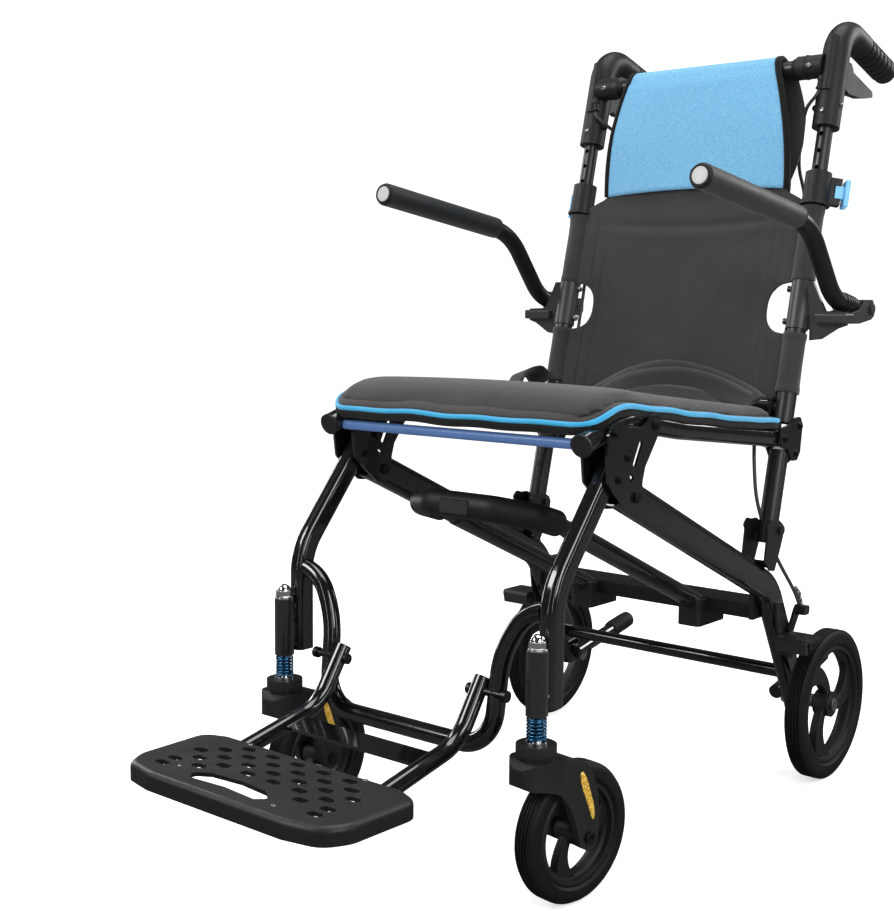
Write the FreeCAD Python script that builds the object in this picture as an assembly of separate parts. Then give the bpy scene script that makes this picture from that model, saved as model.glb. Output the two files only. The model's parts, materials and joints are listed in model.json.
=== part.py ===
import FreeCAD, Part
import math
import os
from FreeCAD import Vector

# Transport wheelchair: a folding, attendant-pushed travel chair with small wheels.
# Millimetres, +Z up, the user faces -Y, the user's left is +X.
# Geometry is laid out with y = 0 at the rear axle and z = 0 on the floor. On export it is
# shifted by Y_SHIFT, which puts the origin at the middle of the chair's footprint.
# Side pieces are built on the user's left (+X) and mirrored. Points in the side plane are (y, z).

Y_SHIFT = 329.4
X_AXIS = Vector(1, 0, 0)
Z_AXIS = Vector(0, 0, 1)

# ---- driving dimensions ----------------------------------------------------------------
SIDE_X = 184.0                 # half the distance between the two side frames
RAIL_R = 12.5                  # seat rail and back tube radius
WALL = 1.8                     # round tube wall

BEAM_W, BEAM_H = 22.0, 38.0    # flat-oval main beam
BEAM_IN = SIDE_X - BEAM_W / 2  # inner and outer faces of the beam
BEAM_OUT = SIDE_X + BEAM_W / 2
BEAM_PATH = [(-461.0, 430.3), (-98.4, 267.1), (-3.0, 96.2)]
LEG_W, LEG_H = 20.0, 27.0      # flat-oval front leg
LEG_PATH = [(-457.0, 474.0), (-573.0, 332.5), (-573.0, 214.5)]

REAR_R, REAR_W = 100.0, 26.0   # rear wheels
REAR_X = 225.0                 # rear wheel centre plane
REAR_RIM_R = 79.0
REAR_AXLE = (0.0, REAR_R)
CASTER_R, CASTER_W = 76.0, 28.0
CASTER_RIM_R = 57.0
CASTER_HUB = (-545.0, CASTER_R)
STEM_X, STEM_Y = 186.0, -600.0  # vertical caster stem
LEFT_CASTER_TURN = -8.0        # degrees about the stem
HOUSING_Z0, HOUSING_Z1 = 212.0, 279.0   # stem housing on the leg

# Pivots, (y, z)
LEG_PIVOT = (-446.0, 421.5)
SEAT_PIVOT = (-409.5, 498.0)
POST_PIVOT = (-101.5, 344.0)
POST_TOP = (-62.0, 439.0)
BACK_HINGE = (-64.0, 497.0)
FOOT_HINGE = (-591.5, 220.5)
ARM_HINGE = (38.0, 625.0)
SHOE_PIVOT = (-66.0, 190.0)
BRAKE_LEVER_PIN = (68.0, 934.0)
LOWER_BAR = (-25.0, 139.0)     # cross bar between the beams
UPPER_BAR = (33.0, 942.0)      # cross bar between the handle heads

PIN_R = 3.98                   # pivot pins, and their close and free holes
PIN_HOLE_R = 4.0
FREE_HOLE_R = 4.05
PIN_HEAD_R = 6.4
STEM_R, STEM_HOLE_R = 7.0, 7.05

ARM_X = 231.0                  # armrest centre plane
FOOT_ARM_X = 103.2             # footrest arm centre plane

BACK_SLOPE = 0.2415            # rearward travel of the back tubes per unit of height
BACK_LEAN = math.atan(BACK_SLOPE)
BACK_DIR = Vector(0, math.sin(BACK_LEAN), math.cos(BACK_LEAN))
CLAMP_Z = 758.0                # bottom of the height clamps, on the back tube axis
CLAMP_TURN = 40.0              # clamp ears turn this far from outward to rearward
PUSH_TUBE_R = 10.25

TROLLEY_X = 86.0               # trolley-handle tubes
TROLLEY_SLOPE = 0.444
TROLLEY_OUTER_Y = (-404.0, -91.0)
TROLLEY_INNER_Y = (-452.0, -150.0)


# ---- solids and placement --------------------------------------------------------------
def cylinder(start, end, radius):
    base = Vector(*start)
    axis = Vector(*end) - base
    return Part.makeCylinder(radius, axis.Length, base, axis)


def x_cylinder(x0, x1, centre, radius):
    """A cylinder along X at (y, z); the two ends may come in either order."""
    x0, x1 = sorted((x0, x1))
    return cylinder((x0, *centre), (x1, *centre), radius)


def side_bore(centre, radius):
    """A drill right through one side frame."""
    return x_cylinder(150, 220, centre, radius)


def stem_cylinder(z0, z1, radius):
    return cylinder((STEM_X, STEM_Y, z0), (STEM_X, STEM_Y, z1), radius)


def box(x0, x1, y0, y1, z0, z1):
    x0, x1 = sorted((x0, x1))
    return Part.makeBox(x1 - x0, y1 - y0, z1 - z0, Vector(x0, y0, z0))


def fuse(first, *others):
    return first.fuse(list(others)).removeSplitter()


def group(*shapes):
    return Part.makeCompound([solid for shape in shapes for solid in shape.Solids])


def mirror(shape):
    return shape.mirror(Vector(0, 0, 0), X_AXIS)


def inner_copy(outer, near, far):
    """Copy a plate lying near..far outside a centre plane to the same place inside it."""
    return outer.translated(Vector(-(near + far), 0, 0))


def soften(solid, radius, pick=lambda edge: True):
    """Round the picked edges."""
    # A fillet can fail or come out empty; the solid is then left sharp.
    try:
        rounded = solid.makeFillet(radius, [edge for edge in solid.Edges if pick(edge)])
        if rounded.isValid() and rounded.Solids and abs(rounded.Volume) > 0:
            return rounded
    except Exception:
        pass
    return solid


# ---- outlines, plates and swept bars ---------------------------------------------------
def unit(vector):
    return vector * (1.0 / vector.Length)


def line(start, end):
    return Part.LineSegment(start, end).toShape()


def arc(start, middle, end):
    return Part.Arc(start, middle, end).toShape()


def extrude(edges, extrusion):
    return Part.Face(Part.Wire(edges)).extrude(extrusion)


def corner_arc(before, corner, after, radius, share=math.inf):
    """Start, middle and end of a corner arc using at most this share of each side."""
    to_before, to_after = before - corner, after - corner
    back, ahead = unit(to_before), unit(to_after)
    half_tan = math.tan(back.getAngle(ahead) / 2)
    setback = min(radius / half_tan, share * to_before.Length, share * to_after.Length)
    radius = setback * half_tan
    reach = radius / math.sin(back.getAngle(ahead) / 2) - radius
    middle = corner + unit(back + ahead) * reach
    return corner + back * setback, middle, corner + ahead * setback


def rounded_path(points, bend_radii):
    """An open wire with an arc at each inner point."""
    points = [Vector(*point) for point in points]
    edges, last = [], points[0]
    for before, corner, after, radius in zip(points, points[1:], points[2:], bend_radii):
        start, middle, end = corner_arc(before, corner, after, radius)
        if (start - last).Length > 1e-6:
            edges.append(line(last, start))
        edges.append(arc(start, middle, end))
        last = end
    edges.append(line(last, points[-1]))
    return Part.Wire(edges)


def rounded_prism(corners, extrusion, radius=0.0):
    """Extrude a polygon whose corners are rounded where the radius is above zero."""
    count = len(corners)
    rounds = []
    for i, corner in enumerate(corners):
        if radius > 0:
            after = corners[(i + 1) % count]
            rounds.append(corner_arc(corners[i - 1], corner, after, radius, share=0.45))
        else:
            rounds.append((corner, None, corner))
    edges = []
    for i, (start, middle, end) in enumerate(rounds):
        if middle is not None:
            edges.append(arc(start, middle, end))
        following = rounds[(i + 1) % count][0]
        if (following - end).Length > 1e-6:
            edges.append(line(end, following))
    return extrude(edges, extrusion)


def plate(outline, x0, x1, radius=0.0):
    """A plate from a (y, z) outline."""
    x0, x1 = sorted((x0, x1))
    return rounded_prism([Vector(x0, y, z) for y, z in outline], Vector(x1 - x0, 0, 0), radius)


def level_plate(outline, z0, z1, radius):
    """A plate from an (x, y) outline."""
    return rounded_prism([Vector(x, y, z0) for x, y in outline], Vector(0, 0, z1 - z0), radius)


def slot(start, end, radius, extrusion):
    """A round-ended slot between two centres."""
    along = unit(end - start) * radius
    across = unit(extrusion.cross(along)) * radius
    return extrude([
        line(start + across, end + across),
        arc(end + across, end + along, end - across),
        line(end - across, start - across),
        arc(start - across, start - along, start + across),
    ], extrusion)


def sweep(path, profile):
    solid = path.makePipeShell([profile], True, False)
    if solid.ShapeType != "Solid":
        solid = Part.Solid(solid)
    if solid.Volume < 0:
        solid.reverse()
    return solid


def bar(points, radius, bend_radii):
    """A solid round bar along a bent path."""
    start = Vector(*points[0])
    circle = Part.Circle(start, Vector(*points[1]) - start, radius)
    return sweep(rounded_path(points, bend_radii), Part.Wire([circle.toShape()]))


def symmetric_bar(half_points, radius, half_radii):
    """A bar from the left end of a symmetric path to its right end."""
    points = half_points + [(-x, y, z) for x, y, z in reversed(half_points)]
    return bar(points, radius, half_radii + half_radii[::-1])


def oval_wire(centre, direction, width, height, corner_r):
    """Rounded rectangle, its width along X and its height in the side plane."""
    up = X_AXIS.cross(unit(direction))
    half_w, half_h = width / 2, height / 2
    flat_w, flat_h = half_w - corner_r, half_h - corner_r
    inset = corner_r * (1 - math.sqrt(0.5))
    mid_w, mid_h = half_w - inset, half_h - inset

    def at(x, y):
        return centre + X_AXIS * x + up * y

    return Part.Wire([
        line(at(-flat_w, -half_h), at(flat_w, -half_h)),
        arc(at(flat_w, -half_h), at(mid_w, -mid_h), at(half_w, -flat_h)),
        line(at(half_w, -flat_h), at(half_w, flat_h)),
        arc(at(half_w, flat_h), at(mid_w, mid_h), at(flat_w, half_h)),
        line(at(flat_w, half_h), at(-flat_w, half_h)),
        arc(at(-flat_w, half_h), at(-mid_w, mid_h), at(-half_w, flat_h)),
        line(at(-half_w, flat_h), at(-half_w, -flat_h)),
        arc(at(-half_w, -flat_h), at(-mid_w, -mid_h), at(-flat_w, -half_h)),
    ])


def oval_tube(side_path, width, height, corner_r, bend_r, wall):
    points = [Vector(SIDE_X, y, z) for y, z in side_path]
    path = rounded_path(points, [bend_r])
    start, direction = points[0], points[1] - points[0]
    outer = sweep(path, oval_wire(start, direction, width, height, corner_r))
    bore = oval_wire(start, direction, width - 2 * wall, height - 2 * wall, corner_r - wall)
    return outer.cut(sweep(path, bore))


def revolve_x(profile, centre_x, centre):
    """Turn (x offset, radius) points about the X line through (y, z)."""
    y, z = centre
    points = [Vector(centre_x + offset, y, z + radius) for offset, radius in profile]
    face = Part.Face(Part.makePolygon(points + points[:1]))
    return face.revolve(Vector(0, y, z), X_AXIS, 360)


def stepped_heads(places, offset, height):
    """Bolt heads on both faces of the side frame; places are (y, z, radius)."""
    heads = []
    for y, z, radius in places:
        for out in (1, -1):
            face = SIDE_X + out * offset
            base = x_cylinder(face, face + out * height * 0.55, (y, z), radius)
            crown = x_cylinder(face, face + out * height, (y, z), radius * 0.6)
            heads.append(fuse(base, crown))
    return heads


# ---- base frame ------------------------------------------------------------------------
TIP_START, TIP_END = (163.2, -22.0, 108.0), (163.2, 84.0, 128.0)   # tipping lever axis


def main_beam():
    face0, face1 = BEAM_IN + 0.2, BEAM_OUT - 0.2
    beam = oval_tube(BEAM_PATH, BEAM_W, BEAM_H, 9.0, 70.0, 2.2)
    # bushings at the leg pivot and at the rear axle
    beam = fuse(beam, x_cylinder(face0, face1, LEG_PIVOT, 9.0))
    beam = beam.cut(x_cylinder(BEAM_IN - 5, BEAM_OUT + 5, LEG_PIVOT, FREE_HOLE_R))
    beam = fuse(beam, x_cylinder(face0, face1, REAR_AXLE, 12.0))
    return beam.cut(x_cylinder(BEAM_IN - 5, BEAM_OUT + 30, REAR_AXLE, 6.05))


def tipping_lever():
    x = TIP_START[0]
    lever = cylinder(TIP_START, TIP_END, 9.5)
    lever = lever.cut(cylinder((x, -40, 104.6), (x, 100, 131), 7.7))
    lever = lever.fuse(cylinder(TIP_START, (x, -16, 109.1), 8.6))   # front plug
    lever = lever.fuse(box(168.0, 173.4, -18.0, 2.0, 106.0, 116.0))  # tab to the beam
    return lever.cut(x_cylinder(150, 172.9, REAR_AXLE, 10.4))


def main_frame():
    side = main_beam().fuse(tipping_lever())
    bar_r, bar_half = 9.0, BEAM_IN + 0.6
    lower_bar = x_cylinder(-bar_half, bar_half, LOWER_BAR, bar_r)
    lower_bar = lower_bar.cut(x_cylinder(-BEAM_IN, BEAM_IN, LOWER_BAR, bar_r - WALL))
    return fuse(side, mirror(side), lower_bar)


def tipping_cap():
    """Ribbed cap over the rear end of the tipping lever."""
    along = unit(Vector(*TIP_END) - Vector(*TIP_START))
    start = Vector(*TIP_END) - along * 16
    cap = soften(Part.makeCylinder(12.0, 52.0, start, along), 3.0)
    cap = cap.cut(Part.makeCylinder(9.55, 16.2, start - along * 0.2, along))
    for distance in range(8, 39, 6):
        base = start + along * distance
        ring = Part.makeCylinder(12.6, 1.6, base, along)
        cap = cap.fuse(ring.cut(Part.makeCylinder(11.0, 1.6, base, along)))
    return cap


def rear_axle():
    axle = fuse(x_cylinder(BEAM_IN - 4, REAR_X + REAR_W / 2 + 1.0, REAR_AXLE, 6.0),
                x_cylinder(BEAM_IN - 8, BEAM_IN - 0.3, REAR_AXLE, 10.0))
    axle = fuse(axle, x_cylinder(BEAM_OUT + 0.3, REAR_X - 15.5, REAR_AXLE, 9.0))
    recess = x_cylinder(REAR_X + 11.8, REAR_X + 20, REAR_AXLE, 3.4)
    head = x_cylinder(REAR_X + 10.6, REAR_X + 13.6, REAR_AXLE, 8.5).cut(recess)
    return fuse(axle.cut(recess), head)


def post_bracket():
    """Two cheeks joined by a floor on the beam, with the pin of the rear post."""
    outline = [(-139, 307), (-133, 346), (-137, 352), (-128, 360), (-117, 357), (-104, 357),
               (-92, 350), (-90, 338), (-97, 322), (-112, 292), (-124, 294)]
    near, far = 14.4, 17.0
    outer = plate(outline, SIDE_X + near, SIDE_X + far, 4.0)
    floor = plate([(-137, 305.6), (-137, 309.2), (-114, 298.9), (-114, 295.3)],
                  SIDE_X - 14.6, SIDE_X + 14.6)
    bracket = fuse(outer, inner_copy(outer, near, far), floor)
    bracket = bracket.cut(side_bore(POST_PIVOT, PIN_HOLE_R))
    pin = fuse(x_cylinder(SIDE_X - 20.5, SIDE_X + 20.5, POST_PIVOT, PIN_R),
               x_cylinder(SIDE_X + 17.1, SIDE_X + 20.8, POST_PIVOT, PIN_HEAD_R),
               x_cylinder(SIDE_X - 20.8, SIDE_X - 17.1, POST_PIVOT, PIN_HEAD_R))
    return group(bracket, pin)


def brake_bracket():
    outline = [(-98, 250), (-84, 246), (-52, 205), (-36, 176), (-50, 165), (-76, 176), (-92, 214)]
    outer_face = BEAM_OUT + 3.05
    return fuse(plate(outline, BEAM_OUT + 0.05, outer_face, 6),
                x_cylinder(outer_face, BEAM_OUT + 38, SHOE_PIVOT, 4.0))


def brake_shoe():
    """Pivot arm, a plate and lip across the top front of the tyre, and a raised flag."""
    inner, arm_outer, tyre_outer = BEAM_OUT + 4.0, BEAM_OUT + 8.0, REAR_X + 17.0
    arm = plate([(-75, 200), (-57, 200), (-55, 180), (-64, 178), (-78, 182)], inner, arm_outer, 4)
    cross_plate = plate([(-100, 205), (-58, 205), (-56, 200.5), (-64, 199.5), (-97, 200)],
                        inner, tyre_outer)
    lip = plate([(-100, 205), (-97, 200), (-94, 187), (-99, 186), (-103, 201)], inner, tyre_outer)
    flag = plate([(-70, 205), (-50, 236), (-38, 236), (-40, 226), (-56, 204)],
                 inner, arm_outer, 3)
    flag_tip = plate([(-56, 226), (-48, 238), (-36, 238), (-36, 226)], inner, BEAM_OUT + 20.0, 4)
    shoe = fuse(arm, cross_plate, lip, flag, flag_tip)
    return shoe.cut(x_cylinder(BEAM_OUT + 2, BEAM_OUT + 9, SHOE_PIVOT, FREE_HOLE_R))


# ---- trolley handle --------------------------------------------------------------------
def trolley_z(y):
    return 372.0 - TROLLEY_SLOPE * (y + 416.0)


def trolley_cylinder(side, y0, y1, radius):
    x = side * TROLLEY_X
    return cylinder((x, y0, trolley_z(y0)), (x, y1, trolley_z(y1)), radius)


def trolley_outer_tube():
    y0, y1 = TROLLEY_OUTER_Y
    return trolley_cylinder(1, y0, y1, 12.0).cut(trolley_cylinder(1, y0 - 2, y1 + 4, 10.2))


def trolley_inner_tube():
    y0, y1 = TROLLEY_INNER_Y
    return trolley_cylinder(1, y0, y1, 10.1).cut(trolley_cylinder(1, y0 - 2, y1 + 2, 8.6))


def cross_tray():
    """Ribbed tray between the beams with two sockets for the trolley tubes."""
    half, y0, y1 = 172.0, -106.0, -50.0
    bottom, top = 224, 243
    deck = box(-half, half, y0, y1, 238.0, top)
    rims = [box(-half, half, y0, y0 + 4, bottom, top), box(-half, half, y1 - 4, y1, bottom, top)]
    ribs = [box(x - 1.5, x + 1.5, -104, -52, 226, 241) for x in (-140, -112, -45, 0, 45, 112, 140)]
    sockets = []
    for side in (1, -1):
        x = side * TROLLEY_X
        sockets.append(soften(box(x - 17, x + 17, -128, -56, 206, 242), 7.0, lambda edge: abs(
            edge.Vertexes[0].Z - edge.Vertexes[-1].Z) > 30))
    ends = [box(side * 166.5, side * 172.6, -112, -46, bottom, 262) for side in (1, -1)]
    tray = fuse(deck, *rims, sockets[0].fuse(sockets[1]), *ribs, *ends)
    for side in (1, -1):
        tray = tray.cut(trolley_cylinder(side, -180, -90.5, 12.05))
    return tray


def trolley_grip():
    half_path = [(86.0, -432.0, trolley_z(-432)), (87.0, -468.0, 390.0), (44.0, -496.0, 398.0)]
    grip = symmetric_bar(half_path, 15.5, [18.0, 26.0])
    for side in (1, -1):
        grip = grip.cut(trolley_cylinder(side, *TROLLEY_INNER_Y, 10.15))
        grip = grip.cut(trolley_cylinder(side, TROLLEY_OUTER_Y[0] - 14, TROLLEY_OUTER_Y[1], 18.0))
    grip = grip.cut(box(-20.2, 20.2, -520, -499.6, 390, 406))   # button recess
    # the cuts may leave offcuts; only the grip itself is kept
    return max(grip.Solids, key=lambda solid: solid.Volume)


def trolley_button():
    return box(-20.0, 20.0, -512.5, -503.2, 390.2, 405.8)


# ---- wheels ----------------------------------------------------------------------------
SPOKE_W = 12.0


def tyre(radius, width, rim_r, centre_x, centre, grooves):
    """Tyre with round-the-tread grooves at the given x offsets."""
    half = width / 2
    # left half of the section, from the rim to the tread: (x offset, radius)
    flank = [(half * 0.78, rim_r), (half, rim_r + 3), (half, radius - 9),
             (half * 0.93, radius - 5.2), (half * 0.8, radius - 2.5), (half * 0.6, radius - 0.9)]
    profile = [(-x, section_r) for x, section_r in flank]
    for groove in grooves:
        tread_r = radius - 0.02 * abs(groove)
        profile += [(groove - 1.2, tread_r), (groove - 0.7, radius - 1.8),
                    (groove + 0.7, radius - 1.8), (groove + 1.2, tread_r)]
    return revolve_x(profile + flank[::-1], centre_x, centre)


def spoke(centre_x, centre, base_angle, root_r, tip_r, twist):
    """A curled spoke; both long edges lean the same way. Angles in degrees."""
    def at(radius, angle):
        turn = math.radians(base_angle + angle)
        return Vector(centre_x - SPOKE_W / 2, centre[0] + radius * math.cos(turn),
                      centre[1] + radius * math.sin(turn))

    lead = [at(root_r, 28), at(0.55 * (root_r + tip_r), 28 + 0.35 * twist), at(tip_r, 18 + twist)]
    trail = [at(root_r, -28), at(0.50 * (root_r + tip_r), 2 + 0.2 * twist),
             at(tip_r, -20 + twist)]
    blade = extrude([
        arc(*lead),
        arc(lead[2], at(tip_r + 2.5, twist), trail[2]),
        arc(*trail[::-1]),
        line(trail[0], lead[0]),
    ], Vector(SPOKE_W, 0, 0))
    return soften(blade, 2.0, lambda edge: edge.BoundBox.XLength < 0.1)


def wheel(width, rim_r, bore_r, hub_r, hub_w, centre_x, centre, twist):
    """Rim, hub and three spokes."""
    half = width / 2
    # outer-side half of the rim section, from the tyre seat inward: (x offset, radius)
    flank = [(half * 0.76, rim_r - 0.05), (half * 0.86, rim_r - 2.5), (half * 0.86, rim_r - 6),
             (half * 0.45, rim_r - 7.5), (half * 0.3, rim_r - 10.5)]
    opposite = [(-x, section_r) for x, section_r in flank]
    rim = revolve_x(opposite[:1] + flank + opposite[:0:-1], centre_x, centre)
    hub = x_cylinder(centre_x - hub_w / 2, centre_x + hub_w / 2, centre, hub_r)
    spokes = [spoke(centre_x, centre, 90 + 120 * k, hub_r - 3.0, rim_r - 8.5, twist)
              for k in range(3)]
    bore = x_cylinder(centre_x - 60, centre_x + 60, centre, bore_r)
    return fuse(rim, hub, *spokes).cut(bore)


def rear_wheel():
    """Wheel with a bearing ring in its outer face."""
    body = wheel(width=REAR_W, rim_r=REAR_RIM_R, bore_r=6.05, hub_r=17.0, hub_w=21.0,
                 centre_x=REAR_X, centre=REAR_AXLE, twist=52)
    body = body.cut(x_cylinder(REAR_X + 8.0, REAR_X + 20, REAR_AXLE, 11.0))
    bearing = x_cylinder(REAR_X + 8.1, REAR_X + 10.3, REAR_AXLE, 10.9)
    bearing = bearing.cut(x_cylinder(REAR_X + 5, REAR_X + 20, REAR_AXLE, 6.05))
    return group(body, bearing)


# ---- casters ---------------------------------------------------------------------------
def caster_fork():
    outline = [(-627, 140), (-627, 161), (-619, 168), (-582, 168), (-566, 164), (-551, 158),
               (-541, 145), (-532, 120), (-530, 98), (-532, 68), (-545, 60.5), (-558, 68),
               (-563, 88), (-574, 113), (-588, 131), (-610, 139)]
    x0, x1 = STEM_X - 25.5, STEM_X + 25.5
    gap0, gap1 = STEM_X - 16.6, STEM_X + 16.6
    fork = plate(outline, x0, x1, 6.0)
    fork = fork.cut(x_cylinder(gap0, gap1, CASTER_HUB, CASTER_R + 3.5))
    fork = fork.cut(box(gap0, gap1, -640, -500, 40, 120))
    # round the front of the head
    fork = fork.common(fuse(stem_cylinder(130, 170, 27.5), box(x0, x1, -598, -500, 40, 170)))
    fork = fuse(fork, stem_cylinder(168, 171.5, 20.0), stem_cylinder(171.4, 182.5, 21.3))
    fork = fork.cut(stem_cylinder(150, 190, STEM_HOLE_R))
    # curved shallow recess in each arm's outward face
    recess_outline = [(-560, 148), (-553, 146), (-541, 118), (-537, 98), (-541, 95),
                      (-548, 112), (-557, 132)]
    near, far = 24.35, 27.0
    recess = plate(recess_outline, STEM_X + near, STEM_X + far, 2.0)
    fork = fork.cut(recess).cut(inner_copy(recess, near, far))
    return fork.cut(x_cylinder(STEM_X - 40, STEM_X + 40, CASTER_HUB, PIN_HOLE_R))


def caster_axle():
    def on_axle(offset0, offset1, radius):
        return x_cylinder(STEM_X + offset0, STEM_X + offset1, CASTER_HUB, radius)

    axle = fuse(on_axle(-25.4, 25.4, PIN_R),
                on_axle(25.55, 28.6, 7.0).cut(on_axle(26.6, 30, 3.0)),
                on_axle(-28.6, -25.55, 7.0))
    # short necks join the shaft to its heads
    return fuse(axle, on_axle(25.3, 25.6, PIN_R), on_axle(-25.6, -25.3, PIN_R))


def caster_stem():
    """Stem with its collar, and the acorn nut above the housing."""
    top = HOUSING_Z1
    stem = fuse(stem_cylinder(152, top + 6, STEM_R), stem_cylinder(182.7, 185.2, 11.5))
    nut = fuse(stem_cylinder(top + 0.2, top + 2.2, 11.0),
               stem_cylinder(top + 2.2, top + 3.4, 10.5))
    hexagon = [Vector(STEM_X + 10.2 * math.cos(math.radians(60 * k)),
                      STEM_Y + 10.2 * math.sin(math.radians(60 * k)), top + 3.4)
               for k in range(6)]
    nut = fuse(nut, rounded_prism(hexagon, Vector(0, 0, 6.6)),
               Part.makeSphere(8.4, Vector(STEM_X, STEM_Y, top + 9.0)))
    nut = nut.cut(stem_cylinder(150, top + 6.1, STEM_R))
    # trim the sphere flush with the underside of the nut
    nut = nut.cut(box(STEM_X - 20, STEM_X + 20, STEM_Y - 20, STEM_Y + 20, 250, top + 0.2))
    return group(stem, nut)


def caster_spring():
    pitch, height, coil_r, wire_r = 4.5, 22.0, 9.4, 1.45
    base_z = 186.8
    helix = Part.makeHelix(pitch, height, coil_r)
    helix.translate(Vector(STEM_X, STEM_Y, base_z))
    section = Part.Circle(Vector(STEM_X + coil_r, STEM_Y, base_z), Vector(0, 1, 0.088), wire_r)
    return Part.Wire(helix.Edges).makePipeShell([Part.Wire([section.toShape()])], True, True)


# ---- front frame -----------------------------------------------------------------------
def front_leg():
    """Leg with the stem housing and the web that carries it."""
    leg = oval_tube(LEG_PATH, LEG_W, LEG_H, 8.0, 75.0, 2.0)
    web = box(STEM_X - 4.0, STEM_X + 4.0, STEM_Y + 6, -583.2, HOUSING_Z0 + 6, HOUSING_Z1 - 5)
    leg = fuse(leg, stem_cylinder(HOUSING_Z0, HOUSING_Z1, 11.6), web)
    return leg.cut(stem_cylinder(HOUSING_Z0 - 5, HOUSING_Z1 + 5, STEM_HOLE_R))


def front_hoop():
    """U-shaped tube between the legs, drilled for the footrest hinge."""
    half_path = [(175.2, -573.0, 314.0), (150.0, -574.0, 307.0), (124.5, -580.0, 262.0),
                 (121.5, -592.0, 159.5)]
    half_radii = [52.0, 105.0, 42.0]
    hoop = symmetric_bar(half_path, 10.25, half_radii)
    for side in (1, -1):   # trim the ends at the legs
        hoop = hoop.cut(box(side * 173.95, side * 200, -620, -540, 280, 340))
    bore_path = [(172.5, -573.1, 313.2)] + half_path[1:]
    hoop = hoop.cut(symmetric_bar(bore_path, 8.3, half_radii))
    for side in (1, -1):
        hoop = hoop.cut(x_cylinder(side * 100, side * 150, FOOT_HINGE, PIN_HOLE_R))
    return hoop


def leg_plates():
    """Slotted plates on both faces of the leg, beam and seat rail."""
    outline = [(-503, 470), (-501, 492), (-494, 503), (-480, 505), (-462, 499), (-440, 497),
               (-427, 500), (-419, 509), (-403, 510), (-396, 499), (-404, 484), (-428, 453),
               (-433, 436), (-431, 415), (-443, 405.5), (-459, 407), (-480, 424), (-499, 440)]
    near, far = 14.0, 17.2
    cut_x0, cut_x1 = 190, 210
    outer = plate(outline, SIDE_X + near, SIDE_X + far, 6.0)
    outer = outer.cut(slot(Vector(cut_x0, -438, 479), Vector(cut_x0, -449, 458), 3.6,
                           Vector(cut_x1 - cut_x0, 0, 0)))
    outer = outer.cut(plate([(-459, 450), (-449, 443), (-457, 437)], cut_x0, cut_x1, 2.0))
    return group(outer, inner_copy(outer, near, far)).cut(side_bore(LEG_PIVOT, PIN_HOLE_R))


def leg_plate_bolts():
    offset, head_h = 17.25, 3.6
    heads = stepped_heads([(-490, 494, 5.2), (*SEAT_PIVOT, 5.6), (-463, 466, 4.6),
                           (-481, 444, 4.6)], offset, head_h)
    outer, inner = SIDE_X + offset, SIDE_X - offset
    pivot = fuse(x_cylinder(inner - 4.0, outer + 4.0, LEG_PIVOT, PIN_R),
                 x_cylinder(outer, outer + head_h, LEG_PIVOT, PIN_HEAD_R),
                 x_cylinder(inner - head_h, inner, LEG_PIVOT, PIN_HEAD_R))
    return group(*heads, pivot)


# ---- footrest --------------------------------------------------------------------------
FOOTPLATE_Z = 158.0            # top of the footplate
# (x, y)
FOOTPLATE_OUTLINE = [(-128, -738), (128, -738), (157, -750), (155, -838), (141, -864),
                     (98, -873), (-98, -873), (-141, -864), (-155, -838), (-157, -750)]


def footrest_frame():
    """Two bent tubes joined by a tilted cross plate."""
    x = FOOT_ARM_X
    bend = (x, -626.0, 171.0)
    arm = bar([(x, -584.5, 233.0), bend, (x, -786.0, 137.5)], 9.5, [60.0])
    arm = arm.cut(bar([(x, -596.5, 215.1), bend, (x, -784.0, 137.9)], 7.6, [60.0]))
    cross_plate = box(-96.9, 96.9, -684, -657, 160.5, 164.5)
    cross_plate.rotate(Vector(0, -670, 163), X_AXIS, 12.5)
    frame = fuse(arm, mirror(arm), cross_plate)
    for side in (1, -1):
        frame = frame.cut(x_cylinder(side * 80, side * 130, FOOT_HINGE, FREE_HOLE_R))
    return frame


def footrest_pivot_bolts():
    return group(*[fuse(x_cylinder(side * 89.0, side * 141.0, FOOT_HINGE, PIN_R),
                        x_cylinder(side * 89.0, side * 93.5, FOOT_HINGE, 6.2),
                        x_cylinder(side * 136.4, side * 142.0, FOOT_HINGE, PIN_HEAD_R))
                   for side in (1, -1)])


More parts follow.
